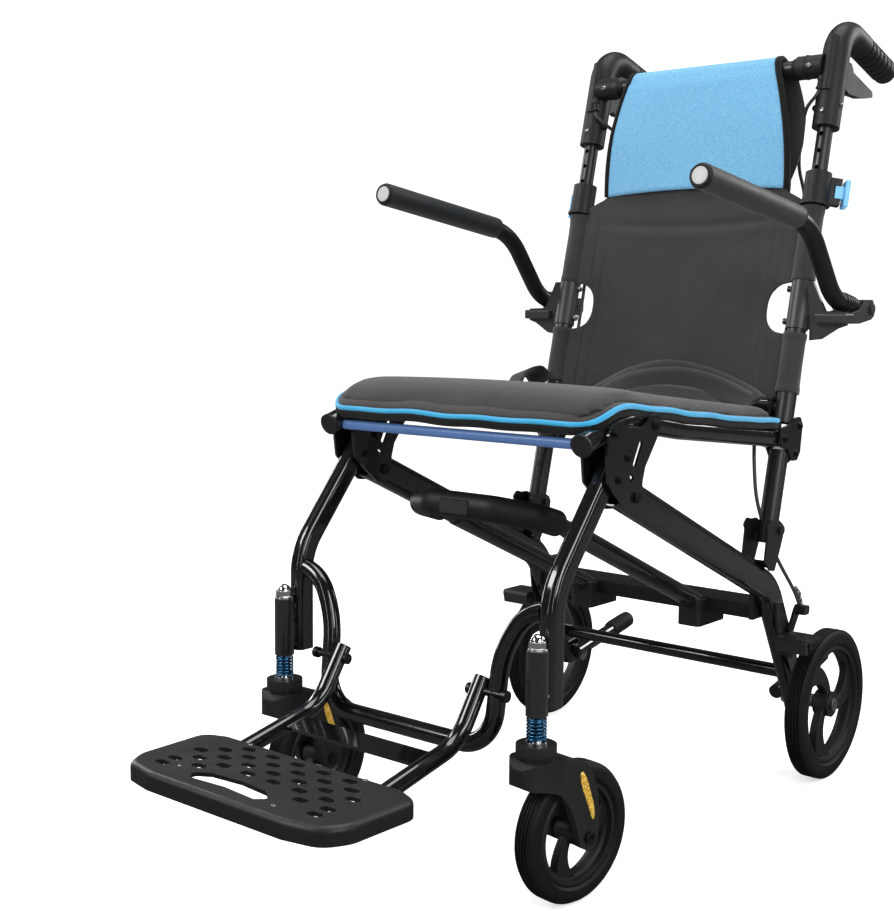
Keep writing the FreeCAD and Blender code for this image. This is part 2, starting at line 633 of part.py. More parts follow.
def footplate():
    """Rounded trapezoid with a turned-down rim, rows of short slots and a hand slot."""
    top = FOOTPLATE_Z
    footplate_body = soften(
        level_plate(FOOTPLATE_OUTLINE, top - 19, top, 32), 7.0,
        lambda edge: abs(edge.BoundBox.ZMin - top) < 1e-6 and abs(edge.BoundBox.ZMax - top) < 1e-6)
    middle_y = 807
    hollow = [(x * 0.955, (y + middle_y) * 0.93 - middle_y) for x, y in FOOTPLATE_OUTLINE]
    footplate_body = footplate_body.cut(level_plate(hollow, top - 28, top - 4.5, 28))

    pitch, row_pitch, first_y = 37.0, 17, -757
    row_counts = (5, 6, 7, 6, 7)          # slots per row, back to front
    places = []
    for row, count in enumerate(row_counts):
        for k in range(count):
            x = (k - (count - 1) / 2.0) * pitch
            beside_hand_slot = row == len(row_counts) - 1 and abs(x) < 60
            if not beside_hand_slot:
                places.append((x, first_y - row_pitch * row))
    front_y = first_y - row_pitch * len(row_counts)
    places += [(-3 * pitch, front_y), (3 * pitch, front_y)]
    half_length = 4.2
    holes = [slot(Vector(x - half_length, y, top - 8), Vector(x + half_length, y, top - 8), 5.0,
                  Z_AXIS * 10) for x, y in places]
    hand_slot = [(-65, -842), (-47, -831), (-7, -827), (33, -831), (51, -842), (39, -853),
                 (-7, -849), (-53, -853)]
    holes.append(level_plate(hand_slot, top - 40, top + 2, 6.0))
    footplate_body = footplate_body.cut(Part.makeCompound(holes))
    for side in (1, -1):   # clearance for the footrest arms
        footplate_body = footplate_body.cut(Part.makeCylinder(
            10.2, 60, Vector(side * FOOT_ARM_X, -790.0, 137.6), Vector(0, 1, 0.204)))
    return footplate_body


# ---- leaning axis shared by rear posts and back tubes ----------------------------------
def back_y(z):
    return -99.0 + BACK_SLOPE * (z - 352.0)


def back_point(z):
    return Vector(SIDE_X, back_y(z), z)


def back_cylinder(z0, z1, radius):
    return cylinder(back_point(z0), back_point(z1), radius)


def leaning_cylinder(z, length, radius, offset=0.0):
    """A cylinder measured along the leaning axis from height z."""
    return Part.makeCylinder(radius, length, back_point(z) + BACK_DIR * offset, BACK_DIR)


# ---- rear posts and seat ---------------------------------------------------------------
REAR_PLATE_NEAR, REAR_PLATE_FAR = 13.4, 16.2


def rear_post():
    z0, z1 = 326.0, 443.0
    post = back_cylinder(z0, z1, RAIL_R).cut(back_cylinder(z0 + 36, z1 - 22, RAIL_R - WALL))
    ear = plate([(-87, 427), (-85.5, 443), (-70, 447), (-55, 446), (-54, 434), (-66, 427)],
                SIDE_X - 9.0, SIDE_X + 9.0, 4)
    post = fuse(post, ear)
    return post.cut(side_bore(POST_PIVOT, FREE_HOLE_R)).cut(side_bore(POST_TOP, 4.5))


def seat_rail():
    side_path = [(-524.0, 482.5), (-481.0, 496.0), (-446.0, 505.5), (-336.0, 488.0),
                 (-107.0, 462.5), (-84.0, 460.8)]
    points = [(SIDE_X, y, z) for y, z in side_path]
    bends = [120.0, 60.0, 160.0, 160.0]
    return bar(points, RAIL_R, bends).cut(bar(points, RAIL_R - WALL, bends))


def rail_end_cap():
    cap = cylinder((SIDE_X, -527.5, 481.4), (SIDE_X, -524.15, 482.45), 12.9)
    return soften(cap, 1.6, lambda edge: edge.BoundBox.YMax < -526)


def front_bar():
    half = SIDE_X - RAIL_R - 0.05
    return x_cylinder(-half, half, (-511.0, 481.5), 5.9)


def rear_plates():
    """Plates at the rear of the seat rail; the inner one reaches up to the back hinge."""
    shared = [(-108, 474), (-104, 450), (-84, 446), (-72, 430), (-58, 430), (-50, 440), (-45, 476)]
    outer = plate(shared + [(-52, 486), (-66, 485), (-82, 478), (-92, 476)],
                  SIDE_X + REAR_PLATE_NEAR, SIDE_X + REAR_PLATE_FAR, 5)
    inner = plate(shared + [(-49, 500), (-56, 511), (-72, 511), (-80, 500), (-84, 478),
                            (-92, 476)],
                  SIDE_X - REAR_PLATE_FAR, SIDE_X - REAR_PLATE_NEAR, 5)
    return group(outer, inner.cut(side_bore(BACK_HINGE, 8.06)))


def rear_plate_rivets():
    places = [(-93, 460, 4.4), (-53, 474, 4.4), (*POST_TOP, 4.4)]
    return group(*stepped_heads(places, REAR_PLATE_FAR + 0.05, 3.0))


def seat_cushion():
    outline = [(-524, 502), (-521, 514), (-500, 527), (-440, 536), (-340, 524), (-110, 498),
               (-92, 490), (-90, 478), (-108, 477), (-336, 503), (-446, 520), (-484, 511),
               (-518, 498.5)]
    return plate(outline, -192, 192, 3.0)


def lap_belt():
    """A rounded block across the rear of the seat."""
    outline = [(-128, 503.5), (-126, 516), (-110, 524), (-90, 522), (-86, 504), (-100, 500.5)]
    return plate(outline, -120, 150, 4)


# ---- backrest --------------------------------------------------------------------------
def back_tube():
    z0, z1 = 478.0, 772.0
    outer = back_cylinder(z0, z1, RAIL_R)
    tube = outer.cut(back_cylinder(z0 - 5, z1 + 5, RAIL_R - WALL))
    return tube.cut(x_cylinder(160, SIDE_X, BACK_HINGE, 8.0))


def back_cross_bar():
    half = SIDE_X - 1.0
    outer = x_cylinder(-half, half, BACK_HINGE, 7.98)
    return outer.cut(x_cylinder(-SIDE_X, SIDE_X, BACK_HINGE, 6.3))


def place_on_clamp(shape):
    """Move a shape from the clamp's own frame, X outward and Z along the tube."""
    shape.rotate(Vector(0, 0, 0), Z_AXIS, CLAMP_TURN)
    shape.rotate(Vector(0, 0, 0), X_AXIS, -math.degrees(BACK_LEAN))
    shape.translate(back_point(CLAMP_Z))
    return shape


def height_clamp():
    """Collar on top of the back tube with two ears and the lever pin between them."""
    ears = place_on_clamp(fuse(
        box(10.0, 31.0, -5.5, 5.5, 4.0, 13.0),
        box(10.0, 31.0, -5.5, 5.5, 31.0, 40.0),
        box(10.0, 21.5, -5.5, 5.5, 4.0, 40.0),
        cylinder((27.5, 0, 7.0), (27.5, 0, 37.0), 2.0)))
    clamp = fuse(leaning_cylinder(CLAMP_Z, 44.0, 17.0), ears)
    clamp = fuse(clamp, leaning_cylinder(CLAMP_Z, 3.5, 19.5))
    clamp = clamp.cut(leaning_cylinder(CLAMP_Z, 15.0, RAIL_R + 0.05, offset=-0.2))
    return clamp.cut(leaning_cylinder(CLAMP_Z, 60.0, 10.32))


def clamp_lever():
    """Lever at the outer rear of the clamp, with its tongue between the ears."""
    lever = fuse(soften(box(34.9, 41.4, -9.5, 9.5, 3.0, 39.0), 2.0),
                 box(23.5, 35.5, -4.0, 4.0, 13.6, 30.4))
    return place_on_clamp(lever.cut(cylinder((27.5, 0, 2.0), (27.5, 0, 42.0), 2.05)))


def sling_band(z0, z1, half_thick):
    """(y, z) corners of a band that follows the lean of the back."""
    def at(z, offset):
        return back_y(z) + offset * math.cos(BACK_LEAN), z - offset * math.sin(BACK_LEAN)

    return [at(z0, -half_thick), at(z1, -half_thick), at(z1, half_thick), at(z0, half_thick)]


def back_sling():
    """Panel between the back tubes, notched at the armrest sleeves."""
    half = SIDE_X - RAIL_R - 2.6
    sling = plate(sling_band(516, 753, 3), -half, half)
    for side in (1, -1):
        sling = sling.cut(plate(sling_band(592, 657, 20), side * (half - 26), side * (half + 5)))
    return sling


def head_panel():
    """Panel hooked over the upper cross bar, narrowing upward."""
    outline = [(2, 781), (14, 850), (17, 930), (17.5, 945), (23, 954), (33, 957.2), (44, 953.8),
               (49, 944), (51.5, 925), (48.5, 925), (45.8, 943), (41.5, 951), (33, 954.2),
               (25, 951.5), (20.6, 944), (20, 930), (17, 850), (6, 781)]
    half = 142
    panel = plate(outline, -half, half, 1.0)
    for side in (1, -1):
        wedge = [(half, 775), (108, 962), (160, 962), (160, 775)]   # (x, z)
        panel = panel.cut(rounded_prism([Vector(side * x, -20, z) for x, z in wedge],
                                        Vector(0, 100, 0)))
    return panel


# ---- push handles ----------------------------------------------------------------------
def push_tube():
    """Tube that slides in the back tube, with four dimples in its front."""
    z0, z1 = 716.0, 898.0
    tube = back_cylinder(z0, z1, PUSH_TUBE_R).cut(back_cylinder(z0 - 5, z1 + 5, 8.2))
    for k in range(4):
        z = 806.0 + 22.0 * k
        tube = tube.cut(cylinder((SIDE_X, back_y(z) - 20, z + 4.8),
                                 (SIDE_X, back_y(z) - 2, z + 0.5), 3.0))
    return tube


def handle_head():
    """Elbow on the push tube, the ringed grip, the bar socket and the brake clevis."""
    base = back_point(860.0)
    corner = Vector(SIDE_X, back_y(996.0) + 1.0, 996.0)
    grip_end = Vector(SIDE_X, 211.0, 953.5)
    span = grip_end - corner
    grip_dir = unit(span)
    grip_start = corner + span * 0.40
    neck = bar([base, corner, corner + span * 0.42], 18.0, [38.0])
    grip = Part.makeCylinder(16.4, (grip_end - grip_start).Length, grip_start, grip_dir)
    head = fuse(neck, soften(grip, 5.0, lambda edge: edge.BoundBox.YMin > 190))
    for k in range(6):
        ring_start = grip_start + grip_dir * (8 + 13.0 * k)
        head = head.fuse(Part.makeCylinder(17.6, 5.5, ring_start, grip_dir))
    # rounded ridge along the front of the neck
    ridge_start = base + BACK_DIR * 50 + Vector(0, -14.0, 0)
    head = head.fuse(Part.makeCylinder(7.5, 74.0, ridge_start, BACK_DIR))
    head = fuse(head, x_cylinder(140.0, SIDE_X - 8.0, UPPER_BAR, 15.5))
    head = head.cut(Part.makeCylinder(PUSH_TUBE_R + 0.1, 40.2, base - BACK_DIR * 0.1, BACK_DIR))
    head = head.cut(x_cylinder(130.0, SIDE_X - 20.0, UPPER_BAR, 11.05))
    clevis = plate([(38, 952), (76, 949), (83, 940), (78, 918), (38, 904)],
                   SIDE_X - 9.6, SIDE_X + 9.6, 4)
    clevis_gap = plate([(54, 966), (100, 966), (100, 895), (54, 895)],
                       SIDE_X - 5.4, SIDE_X + 5.4)
    head = fuse(head, clevis).cut(clevis_gap)
    return fuse(head, x_cylinder(SIDE_X - 9.0, SIDE_X + 9.0, BRAKE_LEVER_PIN, 2.0))


def upper_cross_bar():
    half = SIDE_X - 20.5
    return x_cylinder(-half, half, UPPER_BAR, 11.0).cut(x_cylinder(-200, 200, UPPER_BAR, 9.3))


def brake_lever():
    outline = [(60, 944), (86, 942), (156, 922), (158, 914), (118, 909), (80, 910), (60, 921)]
    lever = plate(outline, SIDE_X - 5.0, SIDE_X + 5.0, 4)
    return lever.cut(side_bore(BRAKE_LEVER_PIN, 2.05))


# ---- armrests --------------------------------------------------------------------------
def armrest_block():
    """Sleeve on the back tube, a gusset, a ledge and a fork reaching to the arm hinge."""
    sleeve = leaning_cylinder(598, 64.0, RAIL_R + 2.0)
    gusset_outline = [(190, 598), (190, 660), (203, 660), (212, 640), (221, 622.0), (250, 621.0),
                      (250, 604), (238, 600), (216, 586), (200, 584), (200, 598)]   # (x, z)
    gusset = rounded_prism([Vector(x, -36.0, z) for x, z in gusset_outline], Vector(0, 5.0, 0))
    ledge = soften(box(209.0, 252.5, -46.0, -18.0, 606.0, 619.0), 2.5)
    web = box(200.0, 215.5, -33.0, -18.0, 604.0, 619.0)
    near, far = 14.2, 19.0
    cheek = plate([(-24, 606), (-24, 619), (10, 624), (28, 637), (44, 637), (51, 627),
                   (50, 616), (40, 611), (4, 606)], ARM_X + near, ARM_X + far, 4)
    floor = box(213.0, 249.0, -24.0, 2.0, 606.0, 612.4)
    block = fuse(sleeve, gusset, ledge, web, cheek, inner_copy(cheek, near, far), floor)
    block = fuse(block, x_cylinder(210.5, 251.5, ARM_HINGE, 4.0),
                 x_cylinder(251.0, 253.6, ARM_HINGE, 6.5))
    for z in (608.0, 650.0):   # studs on the inner side of the sleeve
        block = fuse(block, x_cylinder(SIDE_X - 18.0, SIDE_X - 13.2, (back_y(z), z), 3.6))
    return block.cut(leaning_cylinder(570, 140, RAIL_R + 0.05))


def armrest_arm():
    """Bent arm with a ringed sleeve and a hinge eye at its rear end."""
    path = [(ARM_X, 10.0, 628.5), (ARM_X, -38.0, 638.5), (ARM_X, -112.0, 728.0),
            (ARM_X, -352.0, 763.5)]
    arm = fuse(bar(path, 11.5, [68.0, 88.0]),
               cylinder((ARM_X, 24.0, 626.5), (ARM_X, -16.0, 634.0), 12.8),
               x_cylinder(ARM_X - 14.0, ARM_X + 14.0, ARM_HINGE, 12.0),
               box(ARM_X - 13.0, ARM_X + 13.0, 16.0, 38.0, 614.5, 634.5))
    for k in range(4):
        arm = fuse(arm, cylinder((ARM_X, 14.0 - 7.0 * k, 628.4 + 1.31 * k),
                                 (ARM_X, 11.0 - 7.0 * k, 628.9 + 1.31 * k), 13.8))
    return arm.cut(x_cylinder(200.0, 266.0, ARM_HINGE, FREE_HOLE_R))


def armrest_foam(arm):
    along = unit(Vector(0, -232.0, 32.5))
    foam = Part.makeCylinder(14.6, 236.0, Vector(ARM_X, -146.0, 734.6), along)
    return soften(foam, 4.0).cut(arm)


# ---- export ----------------------------------------------------------------------------
def export(name, shape):
    shape = shape.copy()
    shape.translate(Vector(0, Y_SHIFT, 0))
    solids = shape.Solids
    piece = Part.makeCompound(solids) if len(solids) > 1 else solids[0]
    piece.exportStep("parts/" + name + ".step")


def export_left_right(name, left, left_turn=0.0):
    """Write left and right files; the left one may be turned about the caster stem."""
    export("right_" + name, mirror(left))
    if left_turn:
        left = left.copy()
        left.rotate(Vector(STEM_X, STEM_Y, 0), Z_AXIS, left_turn)
    export("left_" + name, left)


os.makedirs("parts", exist_ok=True)

# pieces on the centre line, or that already hold both sides
for piece_name, piece_shape in {
    "main_frame": main_frame(),
    "cross_tray": cross_tray(),
    "front_hoop": front_hoop(),
    "footrest_frame": footrest_frame(),
    "footrest_pivot_bolts": footrest_pivot_bolts(),
    "footplate": footplate(),
    "front_bar": front_bar(),
    "seat_cushion": seat_cushion(),
    "back_cross_bar": back_cross_bar(),
    "back_sling": back_sling(),
    "head_panel": head_panel(),
    "lap_belt": lap_belt(),
    "upper_cross_bar": upper_cross_bar(),
    "trolley_grip": trolley_grip(),
    "trolley_button": trolley_button(),
}.items():
    export(piece_name, piece_shape)

# left and right together in one file
for piece_name, piece_shape in {
    "rear_axles": rear_axle(),
    "post_brackets": post_bracket(),
    "trolley_outer_tubes": trolley_outer_tube(),
    "trolley_inner_tubes": trolley_inner_tube(),
    "tipping_caps": tipping_cap(),
    "brake_brackets": brake_bracket(),
    "front_legs": front_leg(),
    "leg_plates": leg_plates(),
    "leg_plate_bolts": leg_plate_bolts(),
    "rear_posts": rear_post(),
    "seat_rails": seat_rail(),
    "rail_end_caps": rail_end_cap(),
    "rear_plates": rear_plates(),
    "rear_plate_rivets": rear_plate_rivets(),
    "back_tubes": back_tube(),
    "height_clamps": height_clamp(),
    "armrest_blocks": armrest_block(),
    "push_tubes": push_tube(),
    "handle_heads": handle_head(),
}.items():
    export(piece_name, group(piece_shape, mirror(piece_shape)))

# left and right in separate files
left_arm = armrest_arm()
for piece_name, piece_shape in {
    "brake_shoe": brake_shoe(),
    "rear_tyre": tyre(REAR_R, REAR_W, REAR_RIM_R, REAR_X, REAR_AXLE, (-8, -4, 0, 4, 8)),
    "rear_wheel": rear_wheel(),
    "caster_stem": caster_stem(),
    "caster_spring": caster_spring(),
    "brake_lever": brake_lever(),
    "clamp_lever": clamp_lever(),
    "armrest_arm": left_arm,
    "armrest_foam": armrest_foam(left_arm),
}.items():
    export_left_right(piece_name, piece_shape)

# the left caster stands turned a little
for piece_name, piece_shape in {
    "caster_fork": caster_fork(),
    "caster_axle": caster_axle(),
    "caster_wheel": wheel(width=CASTER_W, rim_r=CASTER_RIM_R, bore_r=FREE_HOLE_R, hub_r=13.0,
                          hub_w=27.0, centre_x=STEM_X, centre=CASTER_HUB, twist=46),
    "caster_tyre": tyre(CASTER_R, CASTER_W, CASTER_RIM_R, STEM_X, CASTER_HUB, (-6, -2, 2, 6)),
}.items():
    export_left_right(piece_name, piece_shape, LEFT_CASTER_TURN)
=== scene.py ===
"""Folding push chair: fabric, cables, small hardware, materials and studio round the CAD pieces.

The chair faces -Y, +X is the user's left and +Z is up. Places are given in millimetres, with y
counted from the rear axle, and place() turns them into scene metres. Sections of swept parts,
webbing sizes, offsets along directions and shader distances are in metres.
"""
import bpy
import bmesh
import json
import math
import random
import numpy as np
from mathutils import Matrix, Vector, noise


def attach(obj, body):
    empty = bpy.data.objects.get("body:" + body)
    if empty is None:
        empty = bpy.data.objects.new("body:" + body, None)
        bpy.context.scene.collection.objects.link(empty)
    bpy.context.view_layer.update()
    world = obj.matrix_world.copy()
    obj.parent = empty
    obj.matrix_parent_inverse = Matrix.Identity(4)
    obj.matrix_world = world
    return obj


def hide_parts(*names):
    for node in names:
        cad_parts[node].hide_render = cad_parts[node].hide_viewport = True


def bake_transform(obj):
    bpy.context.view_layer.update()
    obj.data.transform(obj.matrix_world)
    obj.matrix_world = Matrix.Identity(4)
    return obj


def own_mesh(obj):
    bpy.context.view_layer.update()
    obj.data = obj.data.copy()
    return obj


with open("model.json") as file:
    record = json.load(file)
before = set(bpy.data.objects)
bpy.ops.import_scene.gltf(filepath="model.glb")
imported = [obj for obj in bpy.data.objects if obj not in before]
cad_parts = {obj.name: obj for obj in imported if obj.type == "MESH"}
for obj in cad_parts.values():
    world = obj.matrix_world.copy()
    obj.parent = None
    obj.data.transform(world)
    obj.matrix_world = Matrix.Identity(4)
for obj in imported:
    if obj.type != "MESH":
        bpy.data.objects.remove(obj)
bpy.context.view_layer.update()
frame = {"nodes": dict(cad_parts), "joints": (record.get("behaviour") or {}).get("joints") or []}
random.seed(7)

SIDES = ((1, "left"), (-1, "right"))
COLLECTION = bpy.context.scene.collection
JOINTS = {joint["name"]: joint for joint in frame["joints"]}
REAR_AXLE_Y = JOINTS["left_rear_spin"]["pos_m"][1] * 1000.0

# The back plane leans to the rear as it rises.
BACK_SLOPE = 0.2415
BACK_FOOT_Y, BACK_FOOT_Z = -99.0, 352.0
LEAN = math.atan(BACK_SLOPE)
BACK_NORMAL = Vector((0, -math.cos(LEAN), math.sin(LEAN)))      # towards the user

BACK_TUBE_X = 184.0                     # centre of each back tube
BAR_Y, BAR_Z = 33.0, 942.0              # axis of the upper cross bar
CASTER_X, CASTER_Y = 186.0, -600.0      # axis of each caster stem
X_AXIS = Vector((1, 0, 0))


def place(x, y, z):
    """Scene position of a point given in millimetres from the rear axle."""
    return Vector((x / 1000.0, (y + REAR_AXLE_Y) / 1000.0, z / 1000.0))


def back_y(z):
    return BACK_FOOT_Y + BACK_SLOPE * (z - BACK_FOOT_Z)


def on_back(x, z, offset=0.0):
    """A point of the back plane at height z, moved offset mm towards the user."""
    return place(x, back_y(z) - offset * math.cos(LEAN), z + offset * math.sin(LEAN))


def clamp(value):
    return min(1.0, max(0.0, value))


# ------------------------------------------------------------------ material builder
def grey(value):
    return (value,) * 3


def shade(color, gain, lift=0.0):
    return tuple(min(1.0, channel * gain + lift) for channel in color)


class Shader:
    """Short calls that build a node material on its Principled shader."""

    def __init__(self, name):
        self.material = bpy.data.materials.new(name)
        self.material.use_nodes = True
        self.tree = self.material.node_tree
        self.principled = self.tree.nodes["Principled BSDF"]
        self.coords = self.node("ShaderNodeTexCoord")
        self.normal = None

    def node(self, kind, **settings):
        node = self.tree.nodes.new(kind)
        for key, value in settings.items():
            setattr(node, key, value)
        return node

    def feed(self, socket, value):
        """Link a socket, or set a number or an RGB colour."""
        if isinstance(value, bpy.types.NodeSocket):
            self.tree.links.new(value, socket)
        elif isinstance(value, tuple):
            socket.default_value = (*value, 1.0)
        else:
            socket.default_value = value

    def calc(self, operation, first, second=None):
        node = self.node("ShaderNodeMath", operation=operation)
        self.feed(node.inputs[0], first)
        if second is not None:
            self.feed(node.inputs[1], second)
        return node.outputs[0]

    def noise(self, scale, detail):
        node = self.node("ShaderNodeTexNoise")
        node.inputs["Scale"].default_value = scale
        node.inputs["Detail"].default_value = detail
        node.inputs["Roughness"].default_value = 0.55
        self.feed(node.inputs["Vector"], self.coords.outputs["Object"])
        return node.outputs["Fac"]

    def cells(self, scale):
        node = self.node("ShaderNodeTexVoronoi")
        node.inputs["Scale"].default_value = scale
        self.feed(node.inputs["Vector"], self.coords.outputs["Object"])
        return node.outputs["Distance"]

    def axes(self, coordinate):
        """The x, y and z outputs of a texture coordinate."""
        node = self.node("ShaderNodeSeparateXYZ")
        self.feed(node.inputs[0], self.coords.outputs[coordinate])
        return node.outputs

    def wave(self, coordinate, pitch):
        """Sine with one half wave per pitch, in metres."""
        return self.calc("SINE", self.calc("MULTIPLY", coordinate, math.pi / pitch))

    def remap(self, value, span, to=(0.0, 1.0)):
        node = self.node("ShaderNodeMapRange")
        self.feed(node.inputs["Value"], value)
        for key, number in zip(("From Min", "From Max", "To Min", "To Max"), (*span, *to)):
            node.inputs[key].default_value = number
        return node.outputs["Result"]

    def spread(self, pattern, low, high):
        """Carry the middle range of a noise pattern to low..high."""
        return self.remap(pattern, span=(0.3, 0.7), to=(low, high))

    def mix(self, factor, first, second):
        node = self.node("ShaderNodeMix", data_type="RGBA")
        self.feed(node.inputs["Factor"], factor)
        self.feed(node.inputs[6], first)
        self.feed(node.inputs[7], second)
        return node.outputs[2]

    def worn_edges(self, color, span, amount, tone):
        """Blend tone in where the pointiness of the mesh shows a convex edge."""
        pointiness = self.node("ShaderNodeNewGeometry").outputs["Pointiness"]
        edge = self.calc("MULTIPLY", self.remap(pointiness, span), amount)
        return self.mix(edge, color, tone)

    def add_normal(self, node):
        """Chain a bump or bevel node after the earlier ones."""
        if self.normal is not None:
            self.feed(node.inputs["Normal"], self.normal)
        self.normal = node.outputs["Normal"]

    def bump(self, height, strength, distance):
        node = self.node("ShaderNodeBump")
        node.inputs["Strength"].default_value = strength
        node.inputs["Distance"].default_value = distance
        self.feed(node.inputs["Height"], height)
        self.add_normal(node)

    def bevel(self, radius):
        node = self.node("ShaderNodeBevel", samples=4)
        node.inputs["Radius"].default_value = radius
        self.add_normal(node)

    def finish(self, color, roughness, metallic=0.0, **extra):
        inputs = {"Base Color": color, "Roughness": roughness, "Metallic": metallic, **extra}
        for key, value in inputs.items():
            self.feed(self.principled.inputs[key.replace("_", " ")], value)
        if self.normal is not None:
            self.feed(self.principled.inputs["Normal"], self.normal)
        return self.material


# ------------------------------------------------------------------ kinds of material
def gloss_paint(name, base=0.0030):
    s = Shader(name)
    s.bump(s.noise(scale=420.0, detail=2), strength=0.05, distance=0.0004)
    s.bevel(radius=0.0006)
    warm = (base * 1.35, base * 1.33, base * 1.3)
    color = s.mix(s.noise(scale=26.0, detail=5), grey(base * 0.8), warm)
    color = s.worn_edges(color, span=(0.54, 0.66), amount=0.25, tone=grey(0.03))
    roughness = s.spread(s.noise(scale=9.0, detail=4), low=0.10, high=0.20)
    return s.finish(color, roughness, Coat_Weight=1.0, Coat_Roughness=0.03,
                    Specular_IOR_Level=0.6)


def satin_paint(name, base, low, high, grain, relief):
    """low and high bound the roughness; grain and relief set the scale and strength of bump."""
    s = Shader(name)
    s.bump(s.noise(scale=grain, detail=3), strength=relief, distance=0.0003)
    s.bevel(radius=0.0006)
    warm = (base * 1.25, base * 1.24, base * 1.22)
    color = s.mix(s.noise(scale=34.0, detail=5), grey(base * 0.85), warm)
    color = s.worn_edges(color, span=(0.54, 0.66), amount=0.3, tone=grey(0.035))
    roughness = s.spread(s.noise(scale=14.0, detail=4), low, high)
    return s.finish(color, roughness, Coat_Weight=0.25, Coat_Roughness=0.25)


def plastic(name, base=grey(0.0055), low=0.42, high=0.56, grain=1500.0, relief=0.25):
    """Moulded surface; the arguments mean the same as for satin_paint."""
    s = Shader(name)
    s.bump(s.cells(scale=grain), strength=relief, distance=0.0002)
    s.bevel(radius=0.0008)
    dark, light = shade(base, gain=0.85), shade(base, gain=1.25, lift=0.002)
    color = s.mix(s.noise(scale=40.0, detail=5), dark, light)
    worn = shade(base, gain=1.8, lift=0.012)
    color = s.worn_edges(color, span=(0.53, 0.66), amount=0.35, tone=worn)
    roughness = s.spread(s.noise(scale=18.0, detail=4), low, high)
    return s.finish(color, roughness, Specular_IOR_Level=0.45)


def footplate_plastic(name):
    """Black plastic with painted light: faces that point up are painted lighter and the sides
    darker, as light from above would make them.
    """
    s = Shader(name)
    s.bump(s.cells(scale=700.0), strength=0.35, distance=0.0003)
    s.bevel(radius=0.0010)
    # painted light: this mask of faces that point up makes the top lighter than the sides
    upward = s.remap(s.axes("Normal")[2], span=(0.35, 0.97))
    top = s.mix(s.noise(scale=40.0, detail=5), grey(0.017), grey(0.025))
    color = s.mix(upward, grey(0.006), top)
    roughness = s.spread(s.noise(scale=18.0, detail=4), low=0.38, high=0.52)
    return s.finish(color, roughness, Specular_IOR_Level=0.45)


def metal(name, base, low, high):
    s = Shader(name)
    s.bump(s.noise(scale=600.0, detail=3), strength=0.08, distance=0.0003)
    s.bevel(radius=0.0004)
    color = s.mix(s.noise(scale=60.0, detail=4), shade(base, gain=0.85), base)
    roughness = s.spread(s.noise(scale=45.0, detail=4), low, high)
    return s.finish(color, roughness, metallic=1.0)


def tyre_rubber(name):
    s = Shader(name)
    s.bump(s.noise(scale=700.0, detail=4), strength=0.35, distance=0.0004)
    s.bevel(radius=0.0006)
    dust = s.noise(scale=22.0, detail=6)
    dusty = s.remap(dust, span=(0.45, 0.75), to=(0.0, 0.6))
    color = s.mix(dusty, grey(0.0028), (0.0085, 0.0083, 0.008))
    return s.finish(color, s.spread(dust, low=0.5, high=0.66), Specular_IOR_Level=0.35)


def weave_height(s, axis_u, axis_v, pitch):
    """Plain weave on two object axes: over and under threads in a checker."""
    axes = s.axes("Object")
    wave_u = s.wave(axes[axis_u], pitch)
    wave_v = s.wave(axes[axis_v], pitch)
    thread_u, thread_v = s.calc("ABSOLUTE", wave_u), s.calc("ABSOLUTE", wave_v)
    checker = s.calc("MULTIPLY", wave_u, wave_v)
    node = s.node("ShaderNodeMix", data_type="FLOAT")
    s.feed(node.inputs[0], s.remap(checker, span=(-0.15, 0.15)))
    s.feed(node.inputs[2], thread_u)
    s.feed(node.inputs[3], thread_v)
    return node.outputs[0]


def fabric(name, base, pitch, roughness, sheen, axes=(0, 2), under=None):
    """Woven cloth with threads on two object axes; under is a painted shade colour for faces
    that point down.
    """
    s = Shader(name)
    weave = weave_height(s, *axes, pitch)
    s.bump(s.noise(scale=70.0, detail=4), strength=0.10, distance=0.0012)
    s.bump(weave, strength=0.35, distance=0.00035)
    patches = s.spread(s.noise(scale=11.0, detail=5), low=0.0, high=1.0)
    color = s.mix(patches, shade(base, gain=0.82), shade(base, gain=1.12))
    # painted shade: darker where the weave is low, between the threads
    painted_gap_shade = s.calc("MULTIPLY", s.calc("SUBTRACT", 1.0, weave), 0.25)
    color = s.mix(painted_gap_shade, color, shade(base, gain=0.35))
    if under is not None:
        # painted shade: faces that point down take the darker under colour
        downward = s.remap(s.axes("Normal")[2], span=(-0.35, -0.2), to=(1.0, 0.0))
        color = s.mix(downward, color, under)
    return s.finish(color, roughness, Sheen_Weight=sheen, Sheen_Roughness=0.5,
                    Specular_IOR_Level=0.2)


def piping_cord(name):
    s = Shader(name)
    s.bump(s.noise(scale=900.0, detail=3), strength=0.25, distance=0.0003)
    s.bump(s.noise(scale=120.0, detail=3), strength=0.15, distance=0.0008)
    color = s.mix(s.noise(scale=45.0, detail=4), (0.012, 0.27, 0.50), (0.030, 0.38, 0.66))
    return s.finish(color, 0.6, Sheen_Weight=0.3, Specular_IOR_Level=0.3)


